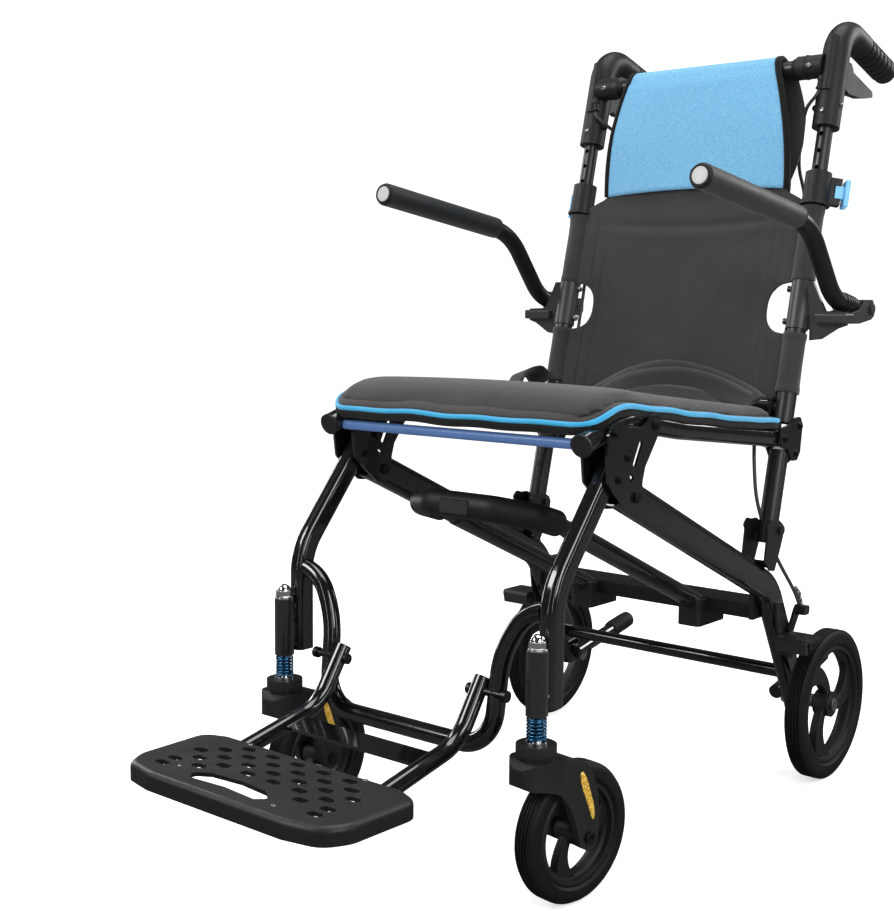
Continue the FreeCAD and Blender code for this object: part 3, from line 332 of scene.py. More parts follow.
def spacer_mesh(name, pitch_x=0.0030, pitch_z=0.0022):
    """A diamond lattice of small openings."""
    s = Shader(name)
    axes = s.axes("Object")
    across = s.calc("DIVIDE", axes[0], pitch_x)
    height = s.calc("DIVIDE", axes[2], pitch_z)

    def from_thread(operation):
        """Zero midway across a diagonal cell and one on its thread."""
        folded = s.calc("PINGPONG", s.calc(operation, across, height), 1.0)
        doubled = s.calc("MULTIPLY", s.calc("SUBTRACT", folded, 0.5), 2.0)
        thread = s.calc("MULTIPLY", s.calc("ABSOLUTE", doubled), 1.0)
        return s.calc("SUBTRACT", 1.0, thread)

    cell = s.calc("MULTIPLY", from_thread("ADD"), from_thread("SUBTRACT"))
    hole = s.remap(cell, span=(0.22, 0.42))
    s.bump(s.calc("SUBTRACT", 1.0, hole), strength=0.8, distance=0.0012)
    s.bump(s.noise(scale=1600.0, detail=2), strength=0.2, distance=0.0003)
    knit = s.remap(s.noise(scale=520.0, detail=3), span=(0.35, 0.65))
    thread_color = s.mix(knit, (0.19, 0.56, 0.90), (0.34, 0.73, 1.0))
    # painted shade: the openings are painted dark blue for the shade in their depth
    color = s.mix(hole, thread_color, (0.0, 0.075, 0.26))
    return s.finish(color, 0.7, Sheen_Weight=0.15, Sheen_Roughness=0.4,
                    Specular_IOR_Level=0.25)


def webbing(name, rib_pitch=0.0026, thread_pitch=0.0012):
    """Ribs along the belt from U, fine threads across it from V."""
    s = Shader(name)
    axes = s.axes("UV")
    ribs = s.calc("ABSOLUTE", s.wave(axes[0], rib_pitch))
    threads = s.calc("ABSOLUTE", s.wave(axes[1], thread_pitch))
    s.bump(ribs, strength=0.7, distance=0.0006)
    s.bump(threads, strength=0.4, distance=0.0003)
    # painted shade: darker in the grooves between the ribs, lighter on their crests
    color = s.mix(ribs, grey(0.004), (0.015, 0.015, 0.0155))
    return s.finish(color, 0.7, Sheen_Weight=0.2, Specular_IOR_Level=0.25)


def foam(name):
    s = Shader(name)
    s.bump(s.cells(scale=900.0), strength=0.25, distance=0.0004)
    s.bump(s.noise(scale=60.0, detail=4), strength=0.15, distance=0.001)
    color = s.mix(s.noise(scale=30.0, detail=4), grey(0.0055), grey(0.010))
    roughness = s.spread(s.noise(scale=25.0, detail=4), low=0.45, high=0.6)
    return s.finish(color, roughness, Sheen_Weight=0.15, Specular_IOR_Level=0.35)


def reflector_amber(name):
    s = Shader(name)
    facets = s.cells(scale=420.0)
    s.bump(facets, strength=0.9, distance=0.0006)
    color = s.mix(s.remap(facets, span=(0.2, 0.6)), (0.80, 0.55, 0.10), (0.45, 0.25, 0.02))
    return s.finish(color, 0.22, Coat_Weight=1.0, Coat_Roughness=0.05)


# ------------------------------------------------------------------ materials of the chair
GLOSS = gloss_paint("gloss_black_paint")
SATIN = satin_paint("satin_black_tube", base=0.0050, low=0.30, high=0.42, grain=900.0,
                    relief=0.12)
PLASTIC = plastic("moulded_black_plastic")
FOOTPLATE = footplate_plastic("footplate_plastic_painted_top_light")
LEVER_BLUE = plastic("light_blue_plastic", base=(0.16, 0.46, 0.80), low=0.3, high=0.42,
                     relief=0.1)
BUTTON = plastic("button_grey_plastic", base=(0.014, 0.014, 0.0145), low=0.32, high=0.42,
                 relief=0.15)
ZINC = metal("zinc_plated", base=(0.40, 0.40, 0.41), low=0.22, high=0.36)
CAP_DISC = plastic("cap_disc_grey", base=(0.46, 0.46, 0.45), low=0.34)
DARK_STEEL = metal("blackened_steel", base=(0.075, 0.075, 0.078), low=0.26, high=0.38)
CHROME = metal("chrome", base=(0.80, 0.80, 0.82), low=0.05, high=0.12)
SPRING_STEEL = metal("blue_spring_steel", base=(0.06, 0.22, 0.42), low=0.22, high=0.32)
BLUE_BAR = plastic("blue_anodised_bar", base=(0.055, 0.115, 0.270), low=0.26, high=0.34,
                   relief=0.04)
TYRE = tyre_rubber("tyre_rubber")
RIBBED_RUBBER = plastic("ribbed_rubber", base=grey(0.005), low=0.55, high=0.7, grain=900.0,
                        relief=0.3)
FOAM = foam("armrest_foam")
BRACKET = satin_paint("bracket_grey_coat", base=0.028, low=0.34, high=0.46, grain=1000.0,
                      relief=0.15)
BINDING = fabric("black_binding", grey(0.0065), pitch=0.0012, roughness=0.85, sheen=0.08)
CABLE = plastic("cable_jacket", base=(0.035, 0.035, 0.037), low=0.22, high=0.32, grain=800.0,
                relief=0.1)
# the seat fabric gets painted shade on its faces that point down
SEAT_FABRIC = fabric("seat_fabric", (0.038, 0.0345, 0.0345), pitch=0.0012, roughness=0.82,
                     sheen=0.22, axes=(0, 1), under=grey(0.006))
SLING_FABRIC = fabric("sling_fabric", (0.034, 0.0315, 0.0315), pitch=0.0010, roughness=0.8,
                      sheen=0.25)
PIPING = piping_cord("blue_piping")
MESH_FABRIC = spacer_mesh("blue_spacer_mesh")
WEBBING = webbing("belt_webbing")
REFLECTOR = reflector_amber("amber_reflector")


def both(*parts):
    """Names of parts that exist on the left and on the right."""
    return [side + "_" + part for part in parts for _, side in SIDES]


CAD_MATERIALS = {
    GLOSS: ["main_frame", "front_legs", "front_hoop", "footrest_frame", "seat_rails",
            "leg_plates", "trolley_outer_tubes", "rear_plates"],
    SATIN: ["rear_posts", "back_tubes", "push_tubes", "back_cross_bar", "upper_cross_bar",
            "trolley_inner_tubes", "post_brackets", "brake_brackets",
            *both("armrest_arm", "brake_shoe")],
    BRACKET: ["armrest_blocks"],
    ZINC: ["rear_axles"],
    DARK_STEEL: ["leg_plate_bolts", "footrest_pivot_bolts", "rear_plate_rivets",
                 *both("caster_axle")],
    CHROME: both("caster_stem"),
    SPRING_STEEL: both("caster_spring"),
    BLUE_BAR: ["front_bar"],
    TYRE: both("rear_tyre", "caster_tyre"),
    PLASTIC: ["cross_tray", "trolley_grip", "height_clamps", "handle_heads", "rail_end_caps",
              *both("rear_wheel", "caster_wheel", "caster_fork", "brake_lever")],
    FOOTPLATE: ["footplate"],
    LEVER_BLUE: both("clamp_lever"),
    BUTTON: ["trolley_button"],
    RIBBED_RUBBER: ["tipping_caps"],
    FOAM: both("armrest_foam"),
    SLING_FABRIC: ["seat_cushion", "back_sling"],
    MESH_FABRIC: ["head_panel"],
    WEBBING: ["lap_belt"],
}
for material, node_names in CAD_MATERIALS.items():
    for node_name in node_names:
        cad_piece = frame["nodes"][node_name]
        if cad_piece.material_slots:
            for slot in cad_piece.material_slots:
                slot.material = material
        else:
            cad_piece.data.materials.append(material)


# ------------------------------------------------------------------ mesh helpers
def shade_smooth(mesh):
    for polygon in mesh.polygons:
        polygon.use_smooth = True


def add_mesh(name, vertices, faces, material):
    mesh = bpy.data.meshes.new(name)
    mesh.from_pydata([tuple(vertex) for vertex in vertices], [], faces)
    mesh.validate()
    bm = bmesh.new()
    bm.from_mesh(mesh)
    bmesh.ops.recalc_face_normals(bm, faces=bm.faces)
    bm.to_mesh(mesh)
    bm.free()
    obj = bpy.data.objects.new(name, mesh)
    COLLECTION.objects.link(obj)
    mesh.materials.append(material)
    shade_smooth(mesh)
    return obj


def join(name, parts):
    """Replace the parts, none of which has been moved, by one object."""
    bm = bmesh.new()
    materials = []
    for part in parts:
        mesh = part.data.copy()
        for polygon in mesh.polygons:
            material = mesh.materials[polygon.material_index]
            if material not in materials:
                materials.append(material)
            polygon.material_index = materials.index(material)
        bm.from_mesh(mesh)
        bpy.data.objects.remove(part)
    joined = bpy.data.meshes.new(name)
    bm.to_mesh(joined)
    bm.free()
    for material in materials:
        joined.materials.append(material)
    obj = bpy.data.objects.new(name, joined)
    COLLECTION.objects.link(obj)
    shade_smooth(joined)
    return obj


def catmull(points, steps, closed=False):
    """Catmull-Rom curve through the points, with so many steps for each span."""
    knots = [Vector(point) for point in points]
    count = len(knots)
    curve = []
    for i in range(count if closed else count - 1):
        p1, p2 = knots[i], knots[(i + 1) % count]
        p0 = knots[(i - 1) % count] if (closed or i > 0) else p1 + (p1 - p2)
        p3 = knots[(i + 2) % count] if (closed or i + 2 < count) else p2 + (p2 - p1)
        for k in range(steps):
            t = k / steps
            curve.append(0.5 * ((2 * p1) + (p2 - p0) * t
                                + (2 * p0 - 5 * p1 + 4 * p2 - p3) * t * t
                                + (3 * p1 - p0 - 3 * p2 + p3) * t ** 3))
    if not closed:
        curve.append(knots[-1])
    return curve


def path_frames(path, up=None, closed=False):
    """Side and normal at each point of a path, with the least twist."""
    count = len(path)
    result = []
    normal = None
    for i in range(count):
        before = path[(i - 1) % count] if (closed or i > 0) else path[i]
        after = path[(i + 1) % count] if (closed or i < count - 1) else path[i]
        tangent = (after - before).normalized()
        if normal is not None:
            reference = normal
        elif up is not None:
            reference = Vector(up)
        else:
            reference = Vector((0, 0, 1)) if abs(tangent.z) < 0.9 else Vector((1, 0, 0))
        normal = (reference - tangent * reference.dot(tangent)).normalized()
        result.append((tangent.cross(normal), normal))
    return result


def tube_faces(rings, sides, closed=False):
    """Quads between successive rings of vertices; closed joins the last ring to the first."""
    faces = []
    for i in range(rings if closed else rings - 1):
        here, there = i * sides, (i + 1) % rings * sides
        for j in range(sides):
            following = (j + 1) % sides
            faces.append((here + j, here + following, there + following, there + j))
    return faces


def cap_faces(rings, sides):
    last = (rings - 1) * sides
    return [tuple(range(sides)), tuple(range(last, last + sides))]


def sweep(path, section, up=None, closed=False, scale=None):
    """Vertices and faces of a section of (side, normal) offsets carried along the path."""
    vertices = []
    for i, (point, (side, normal)) in enumerate(zip(path, path_frames(path, up, closed))):
        size = scale[i] if scale is not None else 1.0
        for a, b in section:
            vertices.append(point + side * a * size + normal * b * size)
    faces = tube_faces(len(path), len(section), closed)
    if not closed:
        first, last = cap_faces(len(path), len(section))
        faces += [first[::-1], last]
    return vertices, faces


def circle(radius, count):
    angles = [2 * math.pi * i / count for i in range(count)]
    return [(radius * math.cos(angle), radius * math.sin(angle)) for angle in angles]


def double_skin(name, rows, columns, point, material, wrap=False):
    """Closed sheet of two skins, with so many cells up and across.

    point(skin, row, column) places each vertex, skin being 0 or 1. wrap makes it a tube.
    """
    across = columns if wrap else columns + 1
    vertices = [point(skin, j, i)
                for skin in (0, 1) for j in range(rows + 1) for i in range(across)]

    def index(skin, j, i):
        return (skin * (rows + 1) + j) * across + i % across

    faces = []
    for j in range(rows):
        for i in range(columns):
            faces.append((index(0, j, i), index(0, j, i + 1),
                          index(0, j + 1, i + 1), index(0, j + 1, i)))
            faces.append((index(1, j, i), index(1, j + 1, i),
                          index(1, j + 1, i + 1), index(1, j, i + 1)))
        if not wrap:
            faces.append((index(0, j, 0), index(0, j + 1, 0),
                          index(1, j + 1, 0), index(1, j, 0)))
            faces.append((index(0, j, columns), index(1, j, columns),
                          index(1, j + 1, columns), index(0, j + 1, columns)))
    for i in range(columns):
        faces.append((index(0, 0, i), index(1, 0, i), index(1, 0, i + 1), index(0, 0, i + 1)))
        faces.append((index(0, rows, i), index(0, rows, i + 1),
                      index(1, rows, i + 1), index(1, rows, i)))
    return add_mesh(name, vertices, faces, material)


def ripple(x, y, z):
    return noise.noise(Vector((x, y, z)))


def apply_modifiers(obj):
    bpy.context.view_layer.update()
    depsgraph = bpy.context.evaluated_depsgraph_get()
    mesh = bpy.data.meshes.new_from_object(obj.evaluated_get(depsgraph))
    obj.modifiers.clear()
    obj.data = mesh


# ------------------------------------------------------------------ inflating a cover
def simulate_pressure(obj, pressure, stiffness, last_frame):
    """Vertex positions after the shell has swelled as air-filled cloth."""
    cloth = obj.modifiers.new("cloth", "CLOTH")
    cloth.collision_settings.use_collision = False
    settings = cloth.settings
    settings.use_pressure = True
    settings.uniform_pressure_force = pressure
    settings.effector_weights.gravity = 0.0
    settings.tension_stiffness = stiffness
    settings.compression_stiffness = stiffness
    settings.bending_stiffness = 0.6
    settings.quality = 6
    scene = bpy.context.scene
    scene.frame_start, scene.frame_end = 1, last_frame
    for number in range(1, last_frame + 1):
        scene.frame_set(number)
        bpy.context.view_layer.update()
    evaluated = obj.evaluated_get(bpy.context.evaluated_depsgraph_get())
    mesh = evaluated.to_mesh()
    swelled = np.array([vertex.co for vertex in mesh.vertices], float)
    evaluated.to_mesh_clear()
    obj.modifiers.clear()
    scene.frame_set(1)
    return swelled


def inflate(obj, voxel, pressure, stiffness, last_frame, limit):
    """Remesh and swell a closed shell; no vertex moves more than limit metres."""
    material = obj.data.materials[0]
    remesh = obj.modifiers.new("remesh", "REMESH")
    remesh.mode = "VOXEL"
    remesh.voxel_size = voxel
    apply_modifiers(obj)
    rest = np.array([vertex.co for vertex in obj.data.vertices], float)
    move = simulate_pressure(obj, pressure, stiffness, last_frame) - rest
    length = np.linalg.norm(move, axis=1, keepdims=True)
    move = move * np.minimum(1.0, limit / np.maximum(length, 1e-9))
    # Averaging with the neighbours takes out the step that the limit leaves.
    neighbours = [[] for _ in rest]
    for edge in obj.data.edges:
        a, b = edge.vertices
        neighbours[a].append(b)
        neighbours[b].append(a)
    for _ in range(2):
        move = np.array([0.5 * move[i] + 0.5 * move[near].mean(0) if near else move[i]
                         for i, near in enumerate(neighbours)])
    obj.data.vertices.foreach_set("co", (rest + move).astype(np.float32).ravel())
    obj.data.update()
    # The remeshed copy may come without its material.
    if not obj.data.materials:
        obj.data.materials.append(material)
    subdivision = obj.modifiers.new("subdivision", "SUBSURF")
    subdivision.levels = subdivision.render_levels = 1
    apply_modifiers(obj)
    shade_smooth(obj.data)


# ------------------------------------------------------------------ seat cushion
CUSHION_FRONT, CUSHION_REAR = -514.0, -98.0
CUSHION_HALF = 193.5
FRONT_CORNER, REAR_CORNER = 26.0, 14.0      # corner radii seen from above
# (y, z) of the cushion edge, front to rear
EDGE_HEIGHTS = [
    (-516, 501.0), (-505, 508.5), (-492, 515.5), (-475, 520.5), (-455, 522.0),
    (-430, 520.5), (-336, 508.0), (-250, 498.5), (-150, 488.5), (-92, 483.0),
]


def interpolate(table, x):
    for (x0, value0), (x1, value1) in zip(table, table[1:]):
        if x <= x1:
            t = max(0.0, min(1.0, (x - x0) / (x1 - x0)))
            return value0 + (value1 - value0) * t
    return table[-1][1]


def edge_z(y, spread=8):
    """Edge height, smoothed over the stations on both sides."""
    return (interpolate(EDGE_HEIGHTS, y - spread) + interpolate(EDGE_HEIGHTS, y) * 2
            + interpolate(EDGE_HEIGHTS, y + spread)) / 4.0


def cushion_outline(count, grow=0.0, arc_steps=10):
    """Rounded rectangle seen from above, as count evenly spaced (x, y) points."""
    half = CUSHION_HALF + grow
    front, rear = CUSHION_FRONT - grow, CUSHION_REAR + grow
    corners = (     # centre x, centre y, radius, start angle
        (half - FRONT_CORNER, front + FRONT_CORNER, FRONT_CORNER, -90),
        (half - REAR_CORNER, rear - REAR_CORNER, REAR_CORNER, 0),
        (-half + REAR_CORNER, rear - REAR_CORNER, REAR_CORNER, 90),
        (-half + FRONT_CORNER, front + FRONT_CORNER, FRONT_CORNER, 180),
    )
    points = []
    for x, y, radius, start in corners:
        for i in range(arc_steps + 1):
            angle = math.radians(start + 90 * i / arc_steps)
            points.append(Vector((x + radius * math.cos(angle),
                                  y + radius * math.sin(angle), 0)))
    points.append(points[0])
    lengths = [0.0]
    for a, b in zip(points, points[1:]):
        lengths.append(lengths[-1] + (b - a).length)
    even = []
    j = 0
    for i in range(count):
        distance = lengths[-1] * i / count
        while lengths[j + 1] < distance:
            j += 1
        t = (distance - lengths[j]) / max(1e-9, lengths[j + 1] - lengths[j])
        point = points[j].lerp(points[j + 1], t)
        even.append((point.x, point.y))
    return even


def cushion_point(t, x0, y0, side):
    """Point of the top (side 1) or underside (-1), from the edge at t 0 to the middle at 1."""
    round_over = 20.0
    x = x0 - x0 * t
    y = y0 + (0.5 * (CUSHION_FRONT + CUSHION_REAR) - y0) * t
    inset = max(min(CUSHION_HALF - abs(x), y - CUSHION_FRONT, CUSHION_REAR - y), 0.0)
    rise = math.sqrt(max(0.0, 1 - (1 - min(inset / round_over, 1.0)) ** 2))
    arch = 1 - (x / CUSHION_HALF) ** 2
    if side < 0:
        return place(x, y, edge_z(y) - 1.2 * rise - 1.5 * arch)
    length_share = clamp((y - CUSHION_FRONT) / (CUSHION_REAR - CUSHION_FRONT))
    crown = 5.0 * arch * math.sin(math.pi * length_share) ** 0.6
    return place(x, y, edge_z(y) + 10.5 * rise + crown)


def make_cushion(count=200, rings=26):
    """Top and underside meet in one shared edge ring, then the shell is inflated."""
    outline = cushion_outline(count, grow=1.6)
    vertices, faces = [], []
    for side in (1, -1):
        base = len(vertices)
        first = 0 if side > 0 else 1
        for k in range(first, rings):
            vertices += [cushion_point(k / rings, x, y, side) for x, y in outline]
        vertices.append(cushion_point(1.0, *outline[0], side))

        def index(k, i):
            return (0 if k == 0 else base + (k - first) * count) + i % count

        for k in range(rings - 1):
            for i in range(count):
                faces.append((index(k, i), index(k, i + 1),
                              index(k + 1, i + 1), index(k + 1, i)))
        middle = len(vertices) - 1
        for i in range(count):
            faces.append((index(rings - 1, i), index(rings - 1, i + 1), middle))
    cover = add_mesh("seat_cushion_cover", vertices, faces, SEAT_FABRIC)
    inflate(cover, voxel=0.005, pressure=4.0, stiffness=12.0, last_frame=20, limit=0.005)
    return cover


def piping_path():
    """Slightly wavy line round the cushion edge."""
    path = []
    for i, (x, y) in enumerate(cushion_outline(220)):
        waver = (0.9 * math.sin(i * 0.31) * math.sin(i * 0.071 + 1.0)
                 + 0.5 * math.sin(i * 0.53 + 2))
        path.append(place(x * 1.012, y + (1.5 if y > -200 else -1.5),
                          edge_z(y) - 1.5 + waver))
    return path


# (side, normal) sections in metres, carried round the cushion edge
WELT_SECTION = [
    (-0.0026, -0.0016), (0.0012, -0.0022), (0.0024, -0.0014), (0.0030, 0.0018),
    (0.0028, 0.0064), (-0.0150, 0.0080), (-0.0150, 0.0058), (-0.0028, 0.0044),
]
BAND_SECTION = [
    (0.0004, 0.0016), (-0.0026, 0.0048), (-0.0070, 0.0074), (-0.0140, 0.0090),
    (-0.0240, 0.0094), (-0.0240, 0.0074), (-0.0130, 0.0062), (-0.0060, 0.0040),
    (-0.0020, 0.0008),
]

cushion = make_cushion()
edge_path = piping_path()
piping = add_mesh("seat_piping", *sweep(edge_path, circle(0.0032, 10), closed=True), PIPING)
welt_path = [Vector((p[0] * 0.994, p[1], p[2] - 0.0088)) for p in edge_path]
welt = add_mesh("seat_edge_welt",
                *sweep(welt_path, WELT_SECTION, up=(0, 0, 1), closed=True), BINDING)
# the side band of the cover reaches down to the piping
band = add_mesh("seat_side_band",
                *sweep(edge_path, BAND_SECTION, up=(0, 0, 1), closed=True), SEAT_FABRIC)
for piece in (cushion, piping, welt, band):
    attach(piece, "seat_frame")
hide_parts("seat_cushion")


# ------------------------------------------------------------------ back sling
SLING_BOTTOM, SLING_TOP = 505.0, 792.0
SLING_HALF = 172.0
SLING_CUT = 34.0                            # depth of the side cut-outs
SLEEVES = ((516.0, 592.0), (659.0, 756.0))  # bottom and top of the lower and upper sleeve


def sling_half(z):
    """Half width of the sheet: a cut-out on each side, and a narrowing at the top."""
    if z <= 760:
        away = abs(z - 624.5) / 33.5
        return SLING_HALF - SLING_CUT * (0.0 if away >= 1 else (1 - away ** 2.6) ** (1 / 2.2))
    t = min(1.0, (z - 760) / 26.0)
    return SLING_HALF - SLING_CUT * t * t * (3 - 2 * t)


def bell(distance, width):
    return math.exp(-(distance / width) ** 2)


def sling_offset(x, z):
    """How far the sheet stands off the back plane towards the user."""
    u = x / SLING_HALF
    hollow = 1 - u * u
    fade = 1 - abs(u) ** 3
    sag = -9.0 * hollow * (0.55 + 0.45 * math.sin(math.pi * clamp((z - 500) / 290)))
    crease = -2.2 * bell(z - (748 - 10 * hollow), 6.0) * fade
    ridge = 1.2 * bell(z - (736 - 12 * hollow), 8.0) * fade
    waves = 1.3 * ripple(x * 0.012, z * 0.016, 3.1) + 0.5 * ripple(x * 0.045, z * 0.02, 9.0)
    # tension folds fan out from the facing ends of the sleeves
    inset = SLING_HALF - abs(x)
    folds = 0.0
    for end_z, slope in ((592.0, -0.25), (657.0, 0.25)):
        folds += 1.1 * bell(z - end_z - inset * slope, 9.0) * math.exp(-inset / 50.0)
    seam = -0.9 * bell(abs(x) - 146.0, 1.6)
    return 3.5 + sag + crease + ridge + waves + folds + seam


def make_sling_sheet(columns=110, rows=120, half_thickness=1.3):
    def point(skin, j, i):
        z = SLING_BOTTOM + (SLING_TOP - SLING_BOTTOM) * j / rows
        u = -1 + 2 * i / columns
        x = math.copysign(abs(u) ** 0.9, u) * sling_half(z)
        return on_back(x, z, sling_offset(x, z) + (-half_thickness if skin else half_thickness))

    return double_skin("part", rows, columns, point, SLING_FABRIC)


def make_sleeve(side, bottom, top, rows=46, columns=40):
    """A loose fabric tube round the back tube, with a turned hem at both ends."""
    hem_width, cloth, tube_clearance = 9.0, 1.1, 12.85

    def point(skin, j, i):
        z = bottom + (top - bottom) * j / rows
        from_end = min(z - bottom, top - z)
        hem = 0.9 if from_end < hem_width else 0.0
        if abs(from_end - hem_width) < 2.0:
            hem = 0.3
        angle = 2 * math.pi * i / columns
        radius = 14.0 + hem + 0.55 * ripple(math.cos(angle) * 1.3 + side,
                                            math.sin(angle) * 1.3, z * 0.03)
        # pulled out towards the sheet
        inward = -side * math.cos(angle)
        if inward > 0.2:
            radius += 1.6 * (inward - 0.2)
        if skin:
            radius = max(radius - cloth, tube_clearance)
        return (on_back(side * BACK_TUBE_X, z) + X_AXIS * (radius * math.cos(angle) / 1000)
                + BACK_NORMAL * (radius * math.sin(angle) / 1000))

    return double_skin("part", rows, columns, point, SLING_FABRIC, wrap=True)


sling_parts = [make_sling_sheet()]
for side, _ in SIDES:
    sling_parts += [make_sleeve(side, bottom, top) for bottom, top in SLEEVES]
sling = join("back_sling_cover", sling_parts)
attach(sling, "backrest")
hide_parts("back_sling")

# x, bottom and top z, points along the row, standoff from the sheet
STITCH_ROWS = ((149.0, 512, 590, 12, 1.6), (149.0, 660, 752, 12, 1.6),
               (132.0, 512, 782, 30, 1.5))


def make_stitches(points, material, step=0.0048, length=0.003, radius=0.0004, lift=0.0002):
    """A row of short stitches along a list of points, sizes in metres."""
    path = catmull(points, 12)
    vertices, faces = [], []
    travelled, following = 0.0, step * 0.5
    for a, b in zip(path, path[1:]):
        span = (b - a).length
        while following <= travelled + span and span > 0:
            middle = a.lerp(b, (following - travelled) / span)
            along = (b - a).normalized()
            raised = BACK_NORMAL * lift
            stitch, stitch_faces = sweep(
                [middle - along * length / 2, middle - along * length / 4 + raised,
                 middle + along * length / 4 + raised, middle + along * length / 2],
                circle(radius, 6))
            base = len(vertices)
            vertices += stitch
            faces += [tuple(corner + base for corner in face) for face in stitch_faces]
            following += step
        travelled += span
    return add_mesh("part", vertices, faces, material)


THREAD = fabric("stitch_thread", grey(0.03), pitch=0.0006, roughness=0.7, sheen=0.35)
stitch_rows = []
for side, _ in SIDES:
    for x, bottom, top, count, standoff in STITCH_ROWS:
        row = [on_back(side * x, z, sling_offset(x, z) + standoff)
               for z in np.linspace(bottom, top, count)]
        stitch_rows.append(make_stitches(row, THREAD))
stitching = join("sling_stitching", stitch_rows)
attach(stitching, "backrest")


# ------------------------------------------------------------------ head panel
PANEL_BOTTOM = 783.0
PANEL_TURN = 944.0          # height at which the front face turns over the bar
PANEL_FRONT_ROWS = 26
# (side, normal) section of the folded tape in metres
TAPE_SECTION = [
    (-0.0030, -0.0036), (0.0026, -0.0036), (0.0038, -0.0018), (0.0038, 0.0018),
    (0.0026, 0.0036), (-0.0030, 0.0036), (-0.0036, 0.0022), (-0.0036, -0.0022),
]


def panel_half(z):
    t = (z - PANEL_BOTTOM) / (955.0 - PANEL_BOTTOM)
    return 142.0 - 29.0 * max(0.0, t) ** 1.9 + 2.0 * math.sin(math.pi * clamp(t))


def panel_profile(arc_steps=14, reach=15.2, rise=13.6):
    """(y, z, height used for the width): up the front, over the bar and down behind it."""
    points = []
    for i in range(PANEL_FRONT_ROWS):
        t = i / PANEL_FRONT_ROWS
        z = PANEL_BOTTOM + (PANEL_TURN - PANEL_BOTTOM) * t
        points.append((3.0 + 12.5 * t ** 0.8 - 5.0 * math.sin(math.pi * t), z, z))
    for i in range(arc_steps + 1):
        angle = math.pi - math.pi * i / arc_steps
        points.append((BAR_Y + reach * math.cos(angle), BAR_Z + 2 + rise * math.sin(angle),
                       PANEL_TURN + 10 * math.sin(angle)))
    for i in range(1, 5):
        z = PANEL_TURN - 5.0 * i
        points.append((BAR_Y + reach + 0.4 * i, z, z))
    return points


def profile_normals(profile):
    """Outward directions, towards the user on the front."""
    normals = []
    for i in range(len(profile)):
        before, after = profile[max(0, i - 1)], profile[min(len(profile) - 1, i + 1)]
        along = Vector((0, after[0] - before[0], after[1] - before[1])).normalized()
        normals.append(Vector((0, -along.z, along.y)))
    return normals


PROFILE = panel_profile()
PROFILE_NORMALS = profile_normals(PROFILE)


def make_panel(columns=70, half_thickness=2.4):
    """The front is slightly hollow between the tubes and has a curved lower edge."""
    def point(skin, j, i):
        y, z, width_z = PROFILE[j]
        u = -1 + 2 * i / columns
        x = u * (panel_half(width_z) - 2.0)
        t = clamp((z - PANEL_BOTTOM) / 160.0)
        front = 1.0 if j < PANEL_FRONT_ROWS else 0.0
        hollow = front * 3.0 * (1 - u * u) * math.sin(math.pi * t)
        lift = (1 - t) * 6.0 * (1 - u * u) * front
        bulge = front * 1.6 * (1 - abs(u) ** 6)
        offset = 0.8 * ripple(x * 0.02, z * 0.02, 5.0) * front
        offset += -half_thickness if skin else half_thickness + bulge * 0.5
        return place(x, y + hollow, z + lift) + PROFILE_NORMALS[j] * (offset / 1000.0)

    return double_skin("head_panel_mesh", len(PROFILE) - 1, columns, point, MESH_FABRIC)


def make_binding(side):
    """Folded black tape round the side edge of the panel."""
    vertices = []
    for (y, z, width_z), normal in zip(PROFILE, PROFILE_NORMALS):
        centre = place(side * (panel_half(width_z) - 0.5), y, z)
        vertices += [centre + Vector((side * a, 0, 0)) + normal * b for a, b in TAPE_SECTION]
    size = len(PROFILE), len(TAPE_SECTION)
    return add_mesh("part", vertices, tube_faces(*size) + cap_faces(*size), BINDING)


def make_back_layer(rows=30, columns=44, half_thickness=1.2):
    """Dark layer hanging behind the panel and standing a little wider, its sides curling."""
    top, bottom = 947.0, 778.0

    def point(skin, j, i):
        t = j / rows
        z = top - (top - bottom) * t
        phase = min(0.8, t * 0.80 + 0.08)
        half = min(117.0 + 38.0 * math.sin(math.pi * phase) ** 1.1, 154.0)
        u = -1 + 2 * i / columns
        x = u * half
        y = 49.5 - 30.0 * t + 6.0 * math.sin(math.pi * t)
        curl_share = max(0.0, abs(u) - 0.72) / 0.28
        curl = -16.0 * curl_share * math.sin(math.pi * min(1, t + 0.05))
        waves = 1.6 * ripple(x * 0.02, z * 0.02, 1.0)
        return place(x, y + curl + waves + (half_thickness if skin else -half_thickness), z)

    return double_skin("part", rows, columns, point, SLING_FABRIC)


panel = make_panel()
backing = join("head_panel_backing", [make_binding(1), make_binding(-1), make_back_layer()])
for piece in (panel, backing):
    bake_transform(piece)
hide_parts("head_panel")


# ------------------------------------------------------------------ lap belt
# Cross-section of the webbing in half widths and half thicknesses, slightly domed
WEBBING_SECTION = [(-1, -1), (-0.5, -1.05), (0, -1.1), (0.5, -1.05), (1, -1),
                   (1, 1), (0.5, 1.05), (0, 1.1), (-0.5, 1.05), (-1, 1)]
